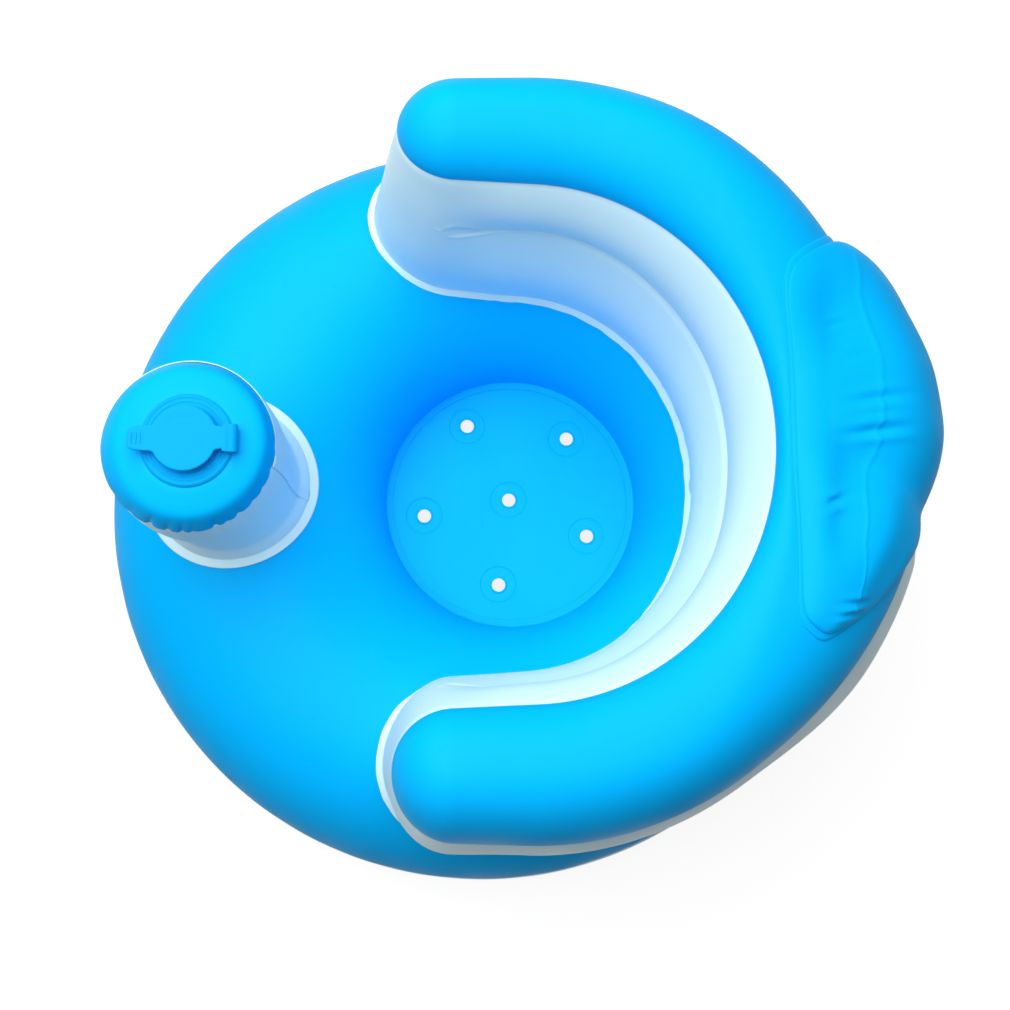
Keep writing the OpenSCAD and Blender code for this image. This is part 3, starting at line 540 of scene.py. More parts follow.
def filledDisc(name, z, flip, rim, material, slot, stands):
    # a flat sheet with a round opening for each eyelet, and a rim of rings round it
    work = bmesh.new()
    edges = []
    steps = floorMesh["eyeletSteps"]
    openings = [floorMesh["openRadius"] + wider for wider in floorMesh["openRim"]]
    loops = [circleOf(0, 0, floorMesh["plainRadius"], floorMesh["rimSteps"])]
    loops += [circleOf(x, y, openings[-1], steps) for x, y in drainPlaces()]
    for loop in loops:
        verts = [work.verts.new((*p, z)) for p in loop]
        edges += [work.edges.new((verts[k], verts[(k + 1) % len(verts)])) for k in range(len(verts))]
    bmesh.ops.triangle_fill(work, use_beauty=True, use_dissolve=False, edges=edges)
    bmesh.ops.recalc_face_normals(work, faces=work.faces)
    points = [tuple(v.co) for v in work.verts]
    work.verts.index_update()
    faces = [tuple(v.index for v in f.verts) for f in work.faces]
    up = sum(f.normal.z * f.calc_area() for f in work.faces) > 0
    work.free()
    if up == flip:
        faces = [tuple(reversed(f)) for f in faces]
    for x, y in drainPlaces():  # a narrow rim keeps the shading of the wide faces plain
        faces += gridFaces(len(openings), steps, loopCols=True, flip=not flip, first=len(points))
        points += [(*p, z) for r in openings for p in circleOf(x, y, r, steps)]
    steps = floorMesh["rimSteps"]
    faces += gridFaces(len(rim), steps, loopCols=True, flip=not flip, first=len(points))
    points += [(*p, z + rise) for r, rise in rim for p in circleOf(0, 0, r, steps)]
    return addPiece(name, points, faces, material, slot, stands=stands, soften=0, thick=vinyl["skin"],
                    weld=True)


filledDisc("floorTop", floor["height"], False, floorMesh["rim"], blueVinyl, "blue_vinyl", ["floor_sheet"])
filledDisc("floorUnder", floor["height"] - floorMesh["backingDrop"], True,
           [(floorMesh["plainRadius"], 0), (floorMesh["backingRadius"], 0)], whiteVinyl, "white_vinyl",
           ["floor_backing"])

eyeletProfile = [  # out from the drain hole over the lip and the pressed band, and back underneath
    (4.2, -0.5), (4.2, 0.02), (4.35, 0.26), (4.7, 0.4), (5.05, 0.36), (5.3, 0.12), (5.5, -0.18), (5.8, -0.24),
    (6.4, -0.2), (7.4, -0.14), (9.4, -0.12), (10.5, -0.14), (10.9, -0.22), (11.15, -0.42), (11.4, -0.42),
    (11.65, -0.12), (12.0, 0.02), (12.3, 0.04), (12.7, -0.06), (12.7, -0.42), (9.0, -0.6), (5.0, -0.6),
]


def addLathe(points, faces, profile, placeOf, steps):
    # one closed ring of revolution, put into the lists that it is given
    faces += gridFaces(steps, len(profile), True, True, first=len(points))
    for k in range(steps):
        points += [placeOf(r, 360 * k / steps, z) for r, z in profile]


eyeletPoints, eyeletFaces = [], []
for drainX, drainY in drainPlaces():
    addLathe(eyeletPoints, eyeletFaces, eyeletProfile,
             lambda r, turn, z: (drainX + r * cosOf(turn), drainY + r * sinOf(turn), floor["height"] + z),
             floorMesh["latheSteps"])
addPiece("drainEyelets", eyeletPoints, eyeletFaces, blueWeld, "blue_vinyl", stands=["drain_eyelets"],
         closed=True)
print("floor made")

# ---- backrest
back = {
    "spineBack": 155, "spineSide": 162, "armReach": 38, "tip": 1.25, "armHeight": 278, "napeHeight": 266,
    "napeRadius": 124, "napeFade": 1.3, "borderIn": 256, "borderOut": 229, "borderBack": 222,
    "foot": {"in": 47, "out": 47, "back": 41, "end": 41, "nose": 45},
    "border": {"in": 35.5, "out": 35, "end": 31, "nose": 31},
    "bandSwell": 7, "innerSwell": 3, "outerSwell": 4, "footWeld": 3.6, "footGrow": 2.6,
    "push": 13, "pushFrom": 0.18, "pushEnd": 0.6, "pushRun": 0.47, "pushPower": 1.3,  # the right side
    "pushWall": 8.5, "wallEnd": 0.35, "wallFade": 0.3,  # bulges, its white wall a little more than its top
    "pushHigh": 0.6, "rightNose": -5.5,  # the soft arms aren't quite alike: the right one has a shorter foot
    "sag": 3.2, "sagFrom": 0.4, "sagRun": 0.6,  # and its outer border leans out a little
    "groove": 0.54, "grooveRise": 0.15, "grooveRun": 1.2,  # share of the height, and how it climbs to the tip
    "noseBend": 34, "bandFade": 60, "bandAhead": 50,  # the two bands run together before the weld's end
}
webWeld = {  # the web's weld line in the groove, and the drop shape that it ends in
    "creaseDepth": 2.4, "creaseWidth": 2.6, "half": 1.7, "end": 299, "eyeLong": 34, "eyeHalf": 5.4,
    "calm": 0.82, "calmFrom": 190, "calmRun": 75, "endFade": 12, "bottom": 0.4,
    "outline": 0.75, "outlineWidth": 0.7, "outlineFrom": 60, "outlineRun": 90, "reach": 14, "past": 3,
}
backMesh = {
    "sideSteps": 60, "tipSteps": 26, "noseSteps": 40, "nosePower": 1.25, "domeSteps": 15, "domePower": 1.15,
    "webSteps": 50, "webCols": 8, "webInset": 0.03,
}


def spine(t):
    if t > 1:
        return Vector((back["spineSide"], -back["armReach"] * (t - 1) / (back["tip"] - 1)))
    return mix(back["spineBack"], back["spineSide"], soft(abs(t))) * Vector((sinOf(90 * t), cosOf(90 * t)))


def outward(t):
    return Vector((1.0, 0.0)) if t > 1 else Vector((sinOf(90 * t), cosOf(90 * t)))


def taper(t):
    return (t / back["tip"]) ** 2


def nape(t):
    return soft(back["napeFade"] * abs(t))


def crownXY(t):
    return spine(t) - outward(t) * (back["spineBack"] - back["napeRadius"]) * (1 - nape(t))


def crownZ(t):
    return mix(back["napeHeight"], back["armHeight"], nape(t))


def grooveAt(t):
    return back["groove"] + back["grooveRise"] * soft(t / back["grooveRun"])


def bands(t, v):
    g = grooveAt(t)
    return sinOf(180 * (v / g if v < g else (v - g) / (1 - g)))


def runAt(t, turn):
    # distance along the seat's side from the back to a place on the band
    past = back["armReach"] * max(0, (t - 1) / (back["tip"] - 1))
    return math.pi / 2 * back["spineSide"] * min(t, 1) + past + back["noseBend"] * math.radians(turn)


def bandSwell(t, turn, v):
    # two bulges above each other beside the seat, which run together where the weld ends
    held = 1 - soft((runAt(t, turn) - webWeld["end"] + back["bandAhead"]) / back["bandFade"])
    return mix(sinOf(180 * v), bands(t, v), held) * back["bandSwell"]


def reachIn(t, v, turn=0.0):
    foot = mix(back["foot"]["in"], back["foot"]["end"], taper(t)) + back["footGrow"]
    border = mix(back["border"]["in"], back["border"]["end"], taper(t))
    return mix(foot, border, v) + back["innerSwell"] * sinOf(180 * v) + bandSwell(t, turn, v)


def pushOut(t, v):
    top = back["push"] * clamp((back["pushEnd"] - t) / back["pushRun"]) ** back["pushPower"]
    wall = back["pushWall"] * sinOf(180 * v) * (1 - soft((t - back["wallEnd"]) / back["wallFade"]))
    return soft(t / back["pushFrom"]) * (top * soft(v / back["pushHigh"]) + wall)


def reachOut(t, v, side=0):
    foot = mix(mix(back["foot"]["back"], back["foot"]["out"], nape(t)), back["foot"]["end"], taper(t))
    border = mix(back["border"]["out"], back["border"]["end"], taper(t))
    border += side * back["sag"] * soft((t - back["sagFrom"]) / back["sagRun"])
    pushed = pushOut(t, v) if side > 0 else 0
    return mix(foot, border, v) + pushed + back["outerSwell"] * sinOf(180 * v) + bandSwell(t, 0, v) / 2


def reachNose(v, side=0):
    foot = back["foot"]["nose"] + (back["rightNose"] if side > 0 else back["footGrow"])
    return mix(foot, back["border"]["nose"], v)


def loopPlaces():
    # places round half of the band as (t, turn), from the inside behind the seat to the outside behind it
    side, tip, nose = backMesh["sideSteps"], backMesh["tipSteps"], backMesh["noseSteps"]
    ts = [k / side for k in range(side)] + [mix(1, back["tip"], k / tip) for k in range(tip + 1)]
    nosePlaces = [(back["tip"], 180 * (k / nose) ** backMesh["nosePower"]) for k in range(1, nose)]
    return [(t, 0.0) for t in ts] + nosePlaces + [(t, 180.0) for t in reversed(ts)]


def loopXY(t, turn, v, inset=0.0, side=0):
    reach = reachIn(t, v, turn) if turn < 90 else reachOut(t, v, side)
    if 0 < turn < 180:
        reach = mix(reachIn(t, v, turn), reachOut(t, v, side), (1 - cosOf(turn)) / 2)
    return (spine(t) - outward(t) * cosOf(turn) * (reach - inset)
            - Vector((0, sinOf(turn) * (reachNose(v, side) - inset))))


def footZ(t, turn, inset=0.0, side=0):
    skin, weld = vinyl["skin"], back["footWeld"]
    high = ringLiftZ(*loopXY(t, turn, 0, skin, side))
    low = ringLiftZ(*loopXY(t, turn, 0, -weld, side))
    return mix(high, low, (skin - inset) / (skin + weld))


def outerZ(t):
    return mix(back["borderBack"], back["borderOut"], nape(t))


def borderZ(t, turn):
    return mix(back["borderIn"], outerZ(t), (1 - cosOf(turn)) / 2)


# ---- pump places
pump = {
    "halfAngle": 34, "short": 1.04, "low": 0.64, "borderShare": 0.6, "middle": 0.51, "half": 0.49,
    "upperPower": 7, "lowerPower": 2.6, "limpPower": 3.2,  # how square the outline's corners are
    "narrow": 0.62, "narrowBy": 0.14, "narrowEnd": 0.72, "narrowRun": 0.24,
    "roundAt": 204, "radius": 63.8,  # height of the round section's middle, and its size
    "endLess": 3.6, "endFrom": 0.3, "endOver": 0.35,  # a little less round towards one end
    "limpLess": 16, "fallFrom": -0.12, "fallOver": 0.6, "thin": 1, "blendIn": 4,  # and limp at the other
    "heldIn": 2, "heldOut": 29, "heldFrom": 10.5, "heldFade": 4,  # where the inlet holds the cover
    "pillow": 6.5, "pillowFrom": -0.75, "pillowOver": 0.5,  # the least that the cover stands up
    "limpFrom": 0.05, "limpOver": 0.3, "footShare": 0.6, "footFrom": 0.55, "footFade": 0.3,
    "rollShare": 0.5, "rollIn": 0.1, "rollInFade": 0.35,  # the full end has it at its inner edge alone
    "hollow": 4.5, "hollowAt": 0.3, "hollowWidth": 0.15, "hollowMid": -0.1, "hollowHalf": 0.55,
    "hollowFade": 0.3, "dent": 15, "dentReach": 0.55, "flange": 4, "pressTilt": 40, "spokes": 216,
}


def sideAngle(x):
    return pump["halfAngle"] * (pump["short"] if x > 0 else 1)


def pressDir(t):
    out = outward(t) * cosOf(pump["pressTilt"])
    return Vector((out[0], out[1], sinOf(pump["pressTilt"])))


def endPower(t, above):
    if not above:
        return pump["lowerPower"]
    return pump["limpPower"] if t > 0 else pump["upperPower"]


def narrowing(t):
    # the limp end of the bulb stays on the back's top
    if t <= 0:
        return 1.0
    near = mix(1, pump["narrow"], soft(t / pump["narrowBy"]))
    return near * mix(1, pump["narrowEnd"], clamp((t - pump["narrowBy"]) / pump["narrowRun"]))


def pumpEdge(t, q):
    across, down = abs(90 * t / sideAngle(t)), abs(q - pump["middle"]) / pump["half"]
    n = endPower(t, q < pump["middle"])
    return (across ** n + down ** n) ** (1 / n)


def dent(t, q):
    return pump["dent"] * (1 - clamp(pumpEdge(t, q)) ** 2) ** 2


def backDome(t, turn):
    c, edge = crownXY(t), spine(t) + outward(t) * reachOut(t, 1, 1 if t > 0 else 0)
    flat = c + (edge - c) * cosOf(turn)
    return Vector((*flat, mix(outerZ(t), crownZ(t), sinOf(turn))))


def backWall(t, v):
    flat = spine(t) + outward(t) * reachOut(t, v, 1 if t > 0 else 0)
    foot = ringLiftZ(*(spine(t) + outward(t) * reachOut(t, 0))) + vinyl["weld"]
    return Vector((*flat, mix(foot, outerZ(t), v)))


def backFace(t, q):
    share = pump["borderShare"]
    if q < share:
        return backDome(t, math.degrees(math.acos(q / share)))
    return backWall(t, 1 - (q - share) / (1 - share) * (1 - pump["low"]))


def offBack(t, q, rise):
    return backFace(t, q * narrowing(t)) + pressDir(t) * rise


def dented(t, turn, q, p, side):
    # the back's outer side makes room for the bulb's core
    if turn < 179.9 or t > pump["dentReach"]:
        return p
    return Vector(p) - pressDir(t) * dent(side * t, q / narrowing(side * t))


# ---- backrest pieces
wallDetail = {
    "height": 138, "below": 75, "above": 55, "lipDepth": 1.2, "lipRun": 0.024,
    "pinch": 2.6, "pinchWidth": 6, "pinchRun": 0.35, "pinchHigh": 0.09, "pinchLow": 0.02, "pinchLeast": 0.25,
    "slack": 0.5, "slackWidth": 38,
}


def weldHalfAt(run):
    # half of the width of the web's weld, which opens into a drop shape at its end
    end, wide = webWeld["end"], webWeld["eyeHalf"]
    if run > end:
        return 0.0
    if run > end - wide:
        return math.sqrt(max(0, wide * wide - (run - end + wide) ** 2))
    return mix(wide, webWeld["half"], soft((end - wide - run) / (webWeld["eyeLong"] - wide)))


def grooveRelief(t, turn, v):
    # the crease that the web pulls in, and the thin raised outline of its weld
    run, up = runAt(t, turn), abs(v - grooveAt(t)) * wallDetail["height"]
    past = run - webWeld["end"]
    if past > webWeld["past"] or up > webWeld["reach"]:
        return 0.0
    half = weldHalfAt(run)
    deep = 1 - webWeld["calm"] * soft((run - webWeld["calmFrom"]) / webWeld["calmRun"])
    deep *= webWeld["creaseDepth"] * (1 - soft(past / webWeld["endFade"] + 1))
    crease = deep * bump(max(0, up - webWeld["bottom"] * half), webWeld["creaseWidth"])
    strong = webWeld["outline"] * soft((run - webWeld["outlineFrom"]) / webWeld["outlineRun"])
    return strong * bump(abs(up - half), webWeld["outlineWidth"]) - crease


def wallPoint(t, turn, v, side=0):
    # pinches above the foot's weld, a slack sheet, and the turned-in edge under the top's border
    flat = loopXY(t, turn, v, 0, side)
    z = mix(footZ(t, turn, 0, side) + vinyl["weld"], borderZ(t, turn), v)
    away = (flat - spine(t)).normalized()
    x, y = flat[0] * (side or 1), flat[1]
    pinch = wander(x, y, 40, wallDetail["pinchWidth"]) * wallDetail["pinch"]
    pinch *= math.exp(-v / wallDetail["pinchHigh"]) * soft(v / wallDetail["pinchLow"])
    pinch *= wallDetail["pinchLeast"] + bump(t, wallDetail["pinchRun"])
    slack = wander(x, y, z, wallDetail["slackWidth"]) * wallDetail["slack"] * sinOf(180 * v)
    lip = wallDetail["lipDepth"] * clamp((v - 1) / wallDetail["lipRun"] + 1) ** 2
    relief = grooveRelief(t, turn, v) if turn < 90 else 0.0
    flat = flat + away * (pinch + slack - lip + relief)
    q = pump["borderShare"] + (1 - pump["borderShare"]) * (1 - v) / (1 - pump["low"])
    return tuple(dented(t, turn, q, (*flat, z), side))


def mirrored(row, sign):
    return [(sign * p[0], p[1], p[2]) for p in row]


def mirroredLoop(pointsAt):
    # rows of points all the way round the band: the half at +X, then the half at -X backwards
    places = loopPlaces()
    half = [pointsAt(t, turn, 1) for t, turn in places]
    other = [mirrored(pointsAt(t, turn, -1), -1) for t, turn in reversed(places[1:-1])]
    return half + other


# shares of the height below and above the groove, close together where the weld's outline needs them
belowGroove = [0, 0.03, 0.07, 0.12] + [0.18 + 0.07 * k for k in range(9)]
belowGroove += [1 - up / wallDetail["below"]
                for up in (14, 10, 7.5, 6, 5.2, 4.6, 4.0, 3.2, 2.5, 2.0, 1.6, 1.1, 0.6)]
aboveGroove = [up / wallDetail["above"]
               for up in (0, 0.6, 1.1, 1.6, 2.0, 2.5, 3.2, 4.0, 4.6, 5.2, 6, 7.5, 10, 14)]
aboveGroove += [0.34, 0.44, 0.54, 0.64, 0.74, 0.84, 0.92, 0.965, 0.98, 0.99, 1.0]


def wallRow(t, turn, side):
    g = grooveAt(t)
    shares = [g * b for b in belowGroove] + [g + (1 - g) * a for a in aboveGroove]
    return [wallPoint(t, turn, v, side) for v in shares]


addGrid("backWall", mirroredLoop(wallRow), whiteVinyl, "white_vinyl", loopRows=True, flip=True,
        thick=vinyl["skin"], soften=0, stands=["backrest_wall"])


topDetail = {"tuck": 0.0125, "tuckWidth": 2.5, "slack": 0.7, "slackWidth": 55}


def domePoint(t, turn, rise, side=0):
    # rise is 0 at the border and 90 on the crown
    c, edge = crownXY(t), loopXY(t, turn, 1, 0, side)
    flat = c + (edge - c) * cosOf(rise) * (1 - topDetail["tuck"] * bump(rise, topDetail["tuckWidth"]))
    slack = wander(flat[0], flat[1], 7, topDetail["slackWidth"]) * topDetail["slack"] * sinOf(2 * rise)
    z = mix(borderZ(t, turn), crownZ(t), sinOf(rise)) + slack
    return tuple(dented(t, turn, pump["borderShare"] * cosOf(rise), (*flat, z), side))


def backTopMesh():
    steps, tip = backMesh["domeSteps"], back["tip"]
    rises = [90 * (k / steps) ** backMesh["domePower"] for k in range(steps)]
    half = [t for t, turn in loopPlaces() if turn == 0]
    turns = [turn for t, turn in loopPlaces() if 0 < turn < 180]
    rows = []
    for t, sign in [(t, -1) for t in reversed(half[1:])] + [(t, 1) for t in half]:
        row = [domePoint(t, 0, r, sign) for r in rises] + [(*crownXY(t), crownZ(t))]
        rows.append(mirrored(row + [domePoint(t, 180, r, sign) for r in reversed(rises)], sign))
    points = [p for row in rows for p in row]
    faces = gridFaces(len(rows), len(rows[0]), flip=True)
    for sign in (1, -1):
        nose = [mirrored([domePoint(tip, turn, r, sign) for r in rises], sign)
                for turn in [0.0, *turns, 180.0]]
        first, crown = len(points), (*crownXY(tip), crownZ(tip))
        points += [p for row in nose for p in row] + mirrored([crown], sign)
        faces += gridFaces(len(nose), steps, flip=sign > 0, first=first)
        faces += fanFaces(len(nose), steps, len(points) - 1, loop=False, flip=sign < 0, first=first)
    return points, faces


topPoints, topFaces = backTopMesh()
addPiece("backTop", topPoints, topFaces, blueVinyl, "blue_vinyl", thick=vinyl["skin"], weld=True,
         stands=["backrest_top_skin"])

footDetail = {
    "insets": (0.5, -0.4, -1.2, -2.0, -2.8), "ruffleWidth": 7, "wave": 0.7, "lift": 0.5, "stand": 0.15,
}


def footRow(t, turn, side):
    row = []
    for inset in (*footDetail["insets"], -back["footWeld"]):
        flat = loopXY(t, turn, 0, inset, side)
        ruffle = wander(flat[0] * side, flat[1], 11, footDetail["ruffleWidth"])
        ruffle *= clamp(-inset / back["footWeld"])
        flat = loopXY(t, turn, 0, inset + ruffle * footDetail["wave"], side)
        up = vinyl["weld"] + footDetail["stand"] + abs(ruffle) * footDetail["lift"]
        row.append((*flat, footZ(t, turn, inset, side) + up))
    return row


addGrid("backFoot", mirroredLoop(footRow), whiteWeld, "white_vinyl", loopRows=True, thick=vinyl["weld"],
        stands=["backrest_foot_weld"])


def webRows():
    rows, steps, cols, inset = [], backMesh["webSteps"], backMesh["webCols"], backMesh["webInset"]
    for s in range(-steps, steps + 1):
        t, sign = back["tip"] * abs(s) / steps, -1 if s < 0 else 1
        ends = [wallPoint(t, turn, grooveAt(t), sign) for turn in (0, 180)]
        row = [[mix(p, q, mix(inset, 1 - inset, k / cols)) for p, q in zip(*ends)] for k in range(cols + 1)]
        rows.append(mirrored(row, sign))
    return rows


addGrid("tieWeb", webRows(), whiteVinyl, "white_vinyl", thick=vinyl["skin"], soften=0,
        stands=["backrest_tie_web"])
print("backrest made")


# ---- pump
pumpMesh = {
    "rings": 72, "ringPower": 1.35, "edgePower": 6, "faceRadius": 11, "pressRoom": 42,
    "flangeSteps": 5, "flangeTuck": 0.992, "flangeThin": 0.5, "thinPower": 3, "flangeScale": 110,
}
pumpWrinkles = [  # from and to on the cover in millimetres, depth and width
    (-20, 24, -22, 48, 1.6, 2.2), (-1, 22, -6, 47, 1.9, 2.4), (47, 11, 36, 33, 1.2, 2.2),
    (41, 11, 43, 31, 0.8, 1.8), (-46, 25, -46, 38, 0.6, 1.8), (-67, 21, -66, 36, 0.45, 1.7),
    (95, 48, 86, 78, 1.2, 1.8), (102, 52, 91, 84, 0.9, 1.7),
]
pumpSeam = [(-97, 52), (-78, 43), (-60, 41), (-46, 40), (-25, 37), (-2, 35), (28, 40), (60, 46), (88, 61),
            (97, 69)]
crease = {
    "scale": (288, 100), "fade": 0.8, "swell": 0.6, "swellAt": 2.1, "swellWidth": 1.1,
    "seamHeight": 0.55, "seamWidth": 0.9, "edge": 0.06,
}


def spokeAt(turn, share):
    c, s = cosOf(turn), sinOf(turn)
    n = endPower(c, s < 0)
    size = (abs(c) ** n + abs(s) ** n) ** (1 / n)
    t = sideAngle(c) / 90 * share * c / size
    return t, max(0.0, pump["middle"] + pump["half"] * share * s / size)


inletCentre = (Vector(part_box("pump_inlet_body")[0]) + Vector(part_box("pump_inlet_body")[1])) / 2


def roundRise(t, q, radius):
    # how far the press direction runs from the back's face to the round section
    out, run = outward(t), pressDir(t)
    p = Vector(offBack(t, q, 0))
    across, up = (p.xy - spine(t)).dot(out), p.z - pump["roundAt"]
    runOut = run.xy.dot(out)
    size = runOut ** 2 + run.z ** 2
    half = across * runOut + up * run.z
    rest = half ** 2 - size * (across ** 2 + up ** 2 - radius ** 2)
    return (math.sqrt(max(0, rest)) - half) / size


def coverRise(share, t, q):
    end = 90 * t / sideAngle(t)
    full = math.sqrt(max(0, 1 - share ** pumpMesh["edgePower"]))
    held = (pump["heldIn"] + pump["heldOut"] * q) * full
    radius = pump["radius"] - pump["endLess"] * soft((-pump["endFrom"] - end) / pump["endOver"])
    radius -= pump["limpLess"] * soft((end - pump["fallFrom"]) / pump["fallOver"])
    edgeRoll = pump["rollShare"] * (1 - soft((q - pump["rollIn"]) / pump["rollInFade"]))
    limpRoll = 1 - pump["footShare"] * soft((q - pump["footFrom"]) / pump["footFade"])
    least = mix(edgeRoll, limpRoll, soft((end - pump["limpFrom"]) / pump["limpOver"])) * pump["pillow"]
    least = pump["thin"] + least * soft((end - pump["pillowFrom"]) / pump["pillowOver"])
    plump = roundRise(t, q, radius)
    plump = (plump + least + math.hypot(plump - least, pump["blendIn"])) / 2
    middle = 1 - soft((abs(end - pump["hollowMid"]) - pump["hollowHalf"]) / pump["hollowFade"])
    plump -= pump["hollow"] * bump(q - pump["hollowAt"], pump["hollowWidth"]) * middle
    gap = (Vector(toFrame(offBack(t, q, held))) - inletCentre).length * 1000
    rise = mix(held, plump * full, soft((gap - pump["heldFrom"]) / pump["heldFade"]))
    return vinyl["lay"] + vinyl["weld"] + rise


def wrinkleRise(t, q):
    # creases with a swell on both sides, and the raised seam along the cover
    rise, x, y = 0.0, t * crease["scale"][0], q * crease["scale"][1]
    for x0, y0, x1, y1, deep, wide in pumpWrinkles:
        run = Vector((x1 - x0, y1 - y0))
        along = ((x - x0) * run[0] + (y - y0) * run[1]) / run.length_squared
        off = ((x - x0) * run[1] - (y - y0) * run[0]) / run.length
        if abs(2 * along - 1) < 2:
            swell = bump(abs(off) - crease["swellAt"] * wide, crease["swellWidth"] * wide)
            rise -= deep * bump(2 * along - 1, crease["fade"]) * (bump(off, wide) - crease["swell"] * swell)
    for (x0, y0), (x1, y1) in zip(pumpSeam, pumpSeam[1:]):
        if x0 < x <= x1:
            off = y - mix(y0, y1, (x - x0) / (x1 - x0))
            rise += crease["seamHeight"] * bump(off, crease["seamWidth"])
    return rise


def coverTop(turn, share):
    t, q = spokeAt(turn, share)
    creased = wrinkleRise(t, q) * soft((1 - share) / crease["edge"])
    return tuple(offBack(t, q, coverRise(share, t, q) + creased))


spokeTurns = [360 * k / pump["spokes"] for k in range(pump["spokes"])]
coverShares = [1 - (k / pumpMesh["rings"]) ** pumpMesh["ringPower"] for k in range(pumpMesh["rings"])]
coverPoints = [coverTop(turn, share) for turn in spokeTurns for share in coverShares] + [coverTop(0, 0)]
coverFaces = gridFaces(pump["spokes"], len(coverShares), loopRows=True, flip=True)
coverFaces += fanFaces(pump["spokes"], len(coverShares), len(coverPoints) - 1)
pumpCover = addPiece("pumpCover", coverPoints, coverFaces, blueVinyl, "blue_vinyl", thick=vinyl["skin"],
                     stands=["pump_cover"], body=None)


def setBlend(piece, weightOf):
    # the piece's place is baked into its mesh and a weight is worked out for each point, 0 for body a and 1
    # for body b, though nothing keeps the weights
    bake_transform(piece)
    values = [weightOf(v.co) for v in piece.data.vertices]


def pressWeight(co):
    far = (Vector(co) - inletCentre).length * 1000
    return 1 - soft((far - pumpMesh["faceRadius"]) / pumpMesh["pressRoom"])


setBlend(pumpCover, pressWeight)


def flangeRow(turn):
    row, steps, wide = [], pumpMesh["flangeSteps"], 1 + pump["flange"] / pumpMesh["flangeScale"]
    for k in range(steps + 1):
        t, q = spokeAt(turn, mix(pumpMesh["flangeTuck"], wide, k / steps))
        up = vinyl["weld"] * (1 - pumpMesh["flangeThin"] * (k / steps) ** pumpMesh["thinPower"])
        row.append(tuple(offBack(t, q, vinyl["lay"] + up)))
    return row


addGrid("pumpFlange", [flangeRow(turn) for turn in spokeTurns], blueWeld, "blue_vinyl", loopRows=True,
        thick=vinyl["weld"], stands=["pump_weld_flange"])

foam = {
    "lift": 0.8, "share": 0.8, "room": 3.5, "thin": 0.6, "fill": 0.9, "spokes": 48,
    "rings": (0.86, 0.8, 0.7, 0.55, 0.35, 0.15),
}


def foamPlace(turn, share, side):
    # the core lies in the back's hollow and stays clear of the cover
    t, q = spokeAt(turn, share)
    low = foam["lift"] - dent(t, q)
    high = max(foam["share"] * coverRise(share, t, q) - foam["room"], low + foam["thin"])
    return tuple(offBack(t, q, high if side > 0 else low))


def foamMesh():
    points, faces, spokes, rings = [], [], foam["spokes"], len(foam["rings"])
    for side in (1, -1):
        first = len(points)
        points += [foamPlace(360 * k / spokes, share, side) for k in range(spokes) for share in foam["rings"]]
        points.append(foamPlace(0, 0, side))
        faces += gridFaces(spokes, rings, loopRows=True, flip=side > 0, first=first)
        faces += fanFaces(spokes, rings, len(points) - 1, first=first)
    for k in range(spokes):
        a, b = k * rings, (k + 1) % spokes * rings
        faces.append((a, b, first + b, first + a))
    return points, faces


foamPoints, foamFaces = foamMesh()
pumpCore = addPiece("pumpCore", foamPoints, foamFaces, foamCore, "foam", stands=["pump_foam"], closed=True,
                    body=None)
setBlend(pumpCore, pressWeight)
print("pump made")

# ---- post
post = {
    "footRadius": 46, "swell": 2, "capRadius": 44.5, "length": 100, "lean": 3.5, "dome": 19, "flange": 5,
    "valveBack": 4, "stations": 360, "gatherDepth": 1.15, "squash": 0.03, "tuck": 0.3, "slack": 0.5,
    "flare": 5.0, "flareHeight": 0.13, "flareFrom": 0.3, "flareFade": 0.6,  # the wall draws in above its foot
    "lip": 1.3, "lipAt": 175, "lipWidth": 62,  # the wall's edge stands past the cap at the back
    "lipFrom": 0.9, "lipRun": 0.1, "gatherShare": 0.6, "gatherPower": 8, "slackWidth": 24,
    "footInsets": (0.5, -0.6, -2.0, -3.5), "footStand": 0.12, "ruffle": 0.5, "ruffleWidth": 12,
    "foldFrom": 2, "foldFade": 11, "foldLift": 0.5, "foldHigh": 4,  # how the cap's folds die out upwards
    "hemIn": 0.6, "hemDown": 0.8, "hemShare": 0.2,
}
postY = -(floor["radius"] + crownShare * (ring["radius"] + ring["offset"] - floor["radius"]))


def leaning(p):
    y, z = p[1], p[2]
    return Vector((p[0], postY + y * cosOf(post["lean"]) - z * sinOf(post["lean"]),
                   ring["height"] + y * sinOf(post["lean"]) + z * cosOf(post["lean"])))


def postFootXY(turn, r):
    return r * cosOf(turn), postY + r * sinOf(turn)


def postFootZ(turn, inset):
    # the foot stands on a straight slope between its inner and outer edge
    skin, flange = vinyl["skin"], post["flange"]
    high = ringLiftZ(*postFootXY(turn, post["footRadius"] - skin))
    low = ringLiftZ(*postFootXY(turn, post["footRadius"] + flange))
    return mix(high, low, (skin - inset) / (skin + flange)) + vinyl["weld"]


def rimSquash(turn, share):
    return 1 - post["squash"] * max(0, cosOf(turn)) * share


gathers = [  # turn, depth and width in degrees of the creases in the cap's rim, most of them at the front
    (-58, 0.2, 3), (-41, 0.35, 2.6), (-25, 1.1, 2.3), (-12, 0.85, 2.0), (-2, 0.9, 1.6), (5, 0.55, 1.5),
    (21, 1.15, 2.3), (29, 0.7, 1.8), (38.5, 0.9, 2.2), (51, 0.5, 2.2), (62, 0.5, 2.0), (75, 0.4, 2.4),
    (91, 0.25, 2.6),
]
gatherShape = {"reach": 14, "swell": 0.12, "swellAt": 3.2, "swellWidth": 2}


def turnFrom(turn, place):
    return (turn - place + 180) % 360 - 180


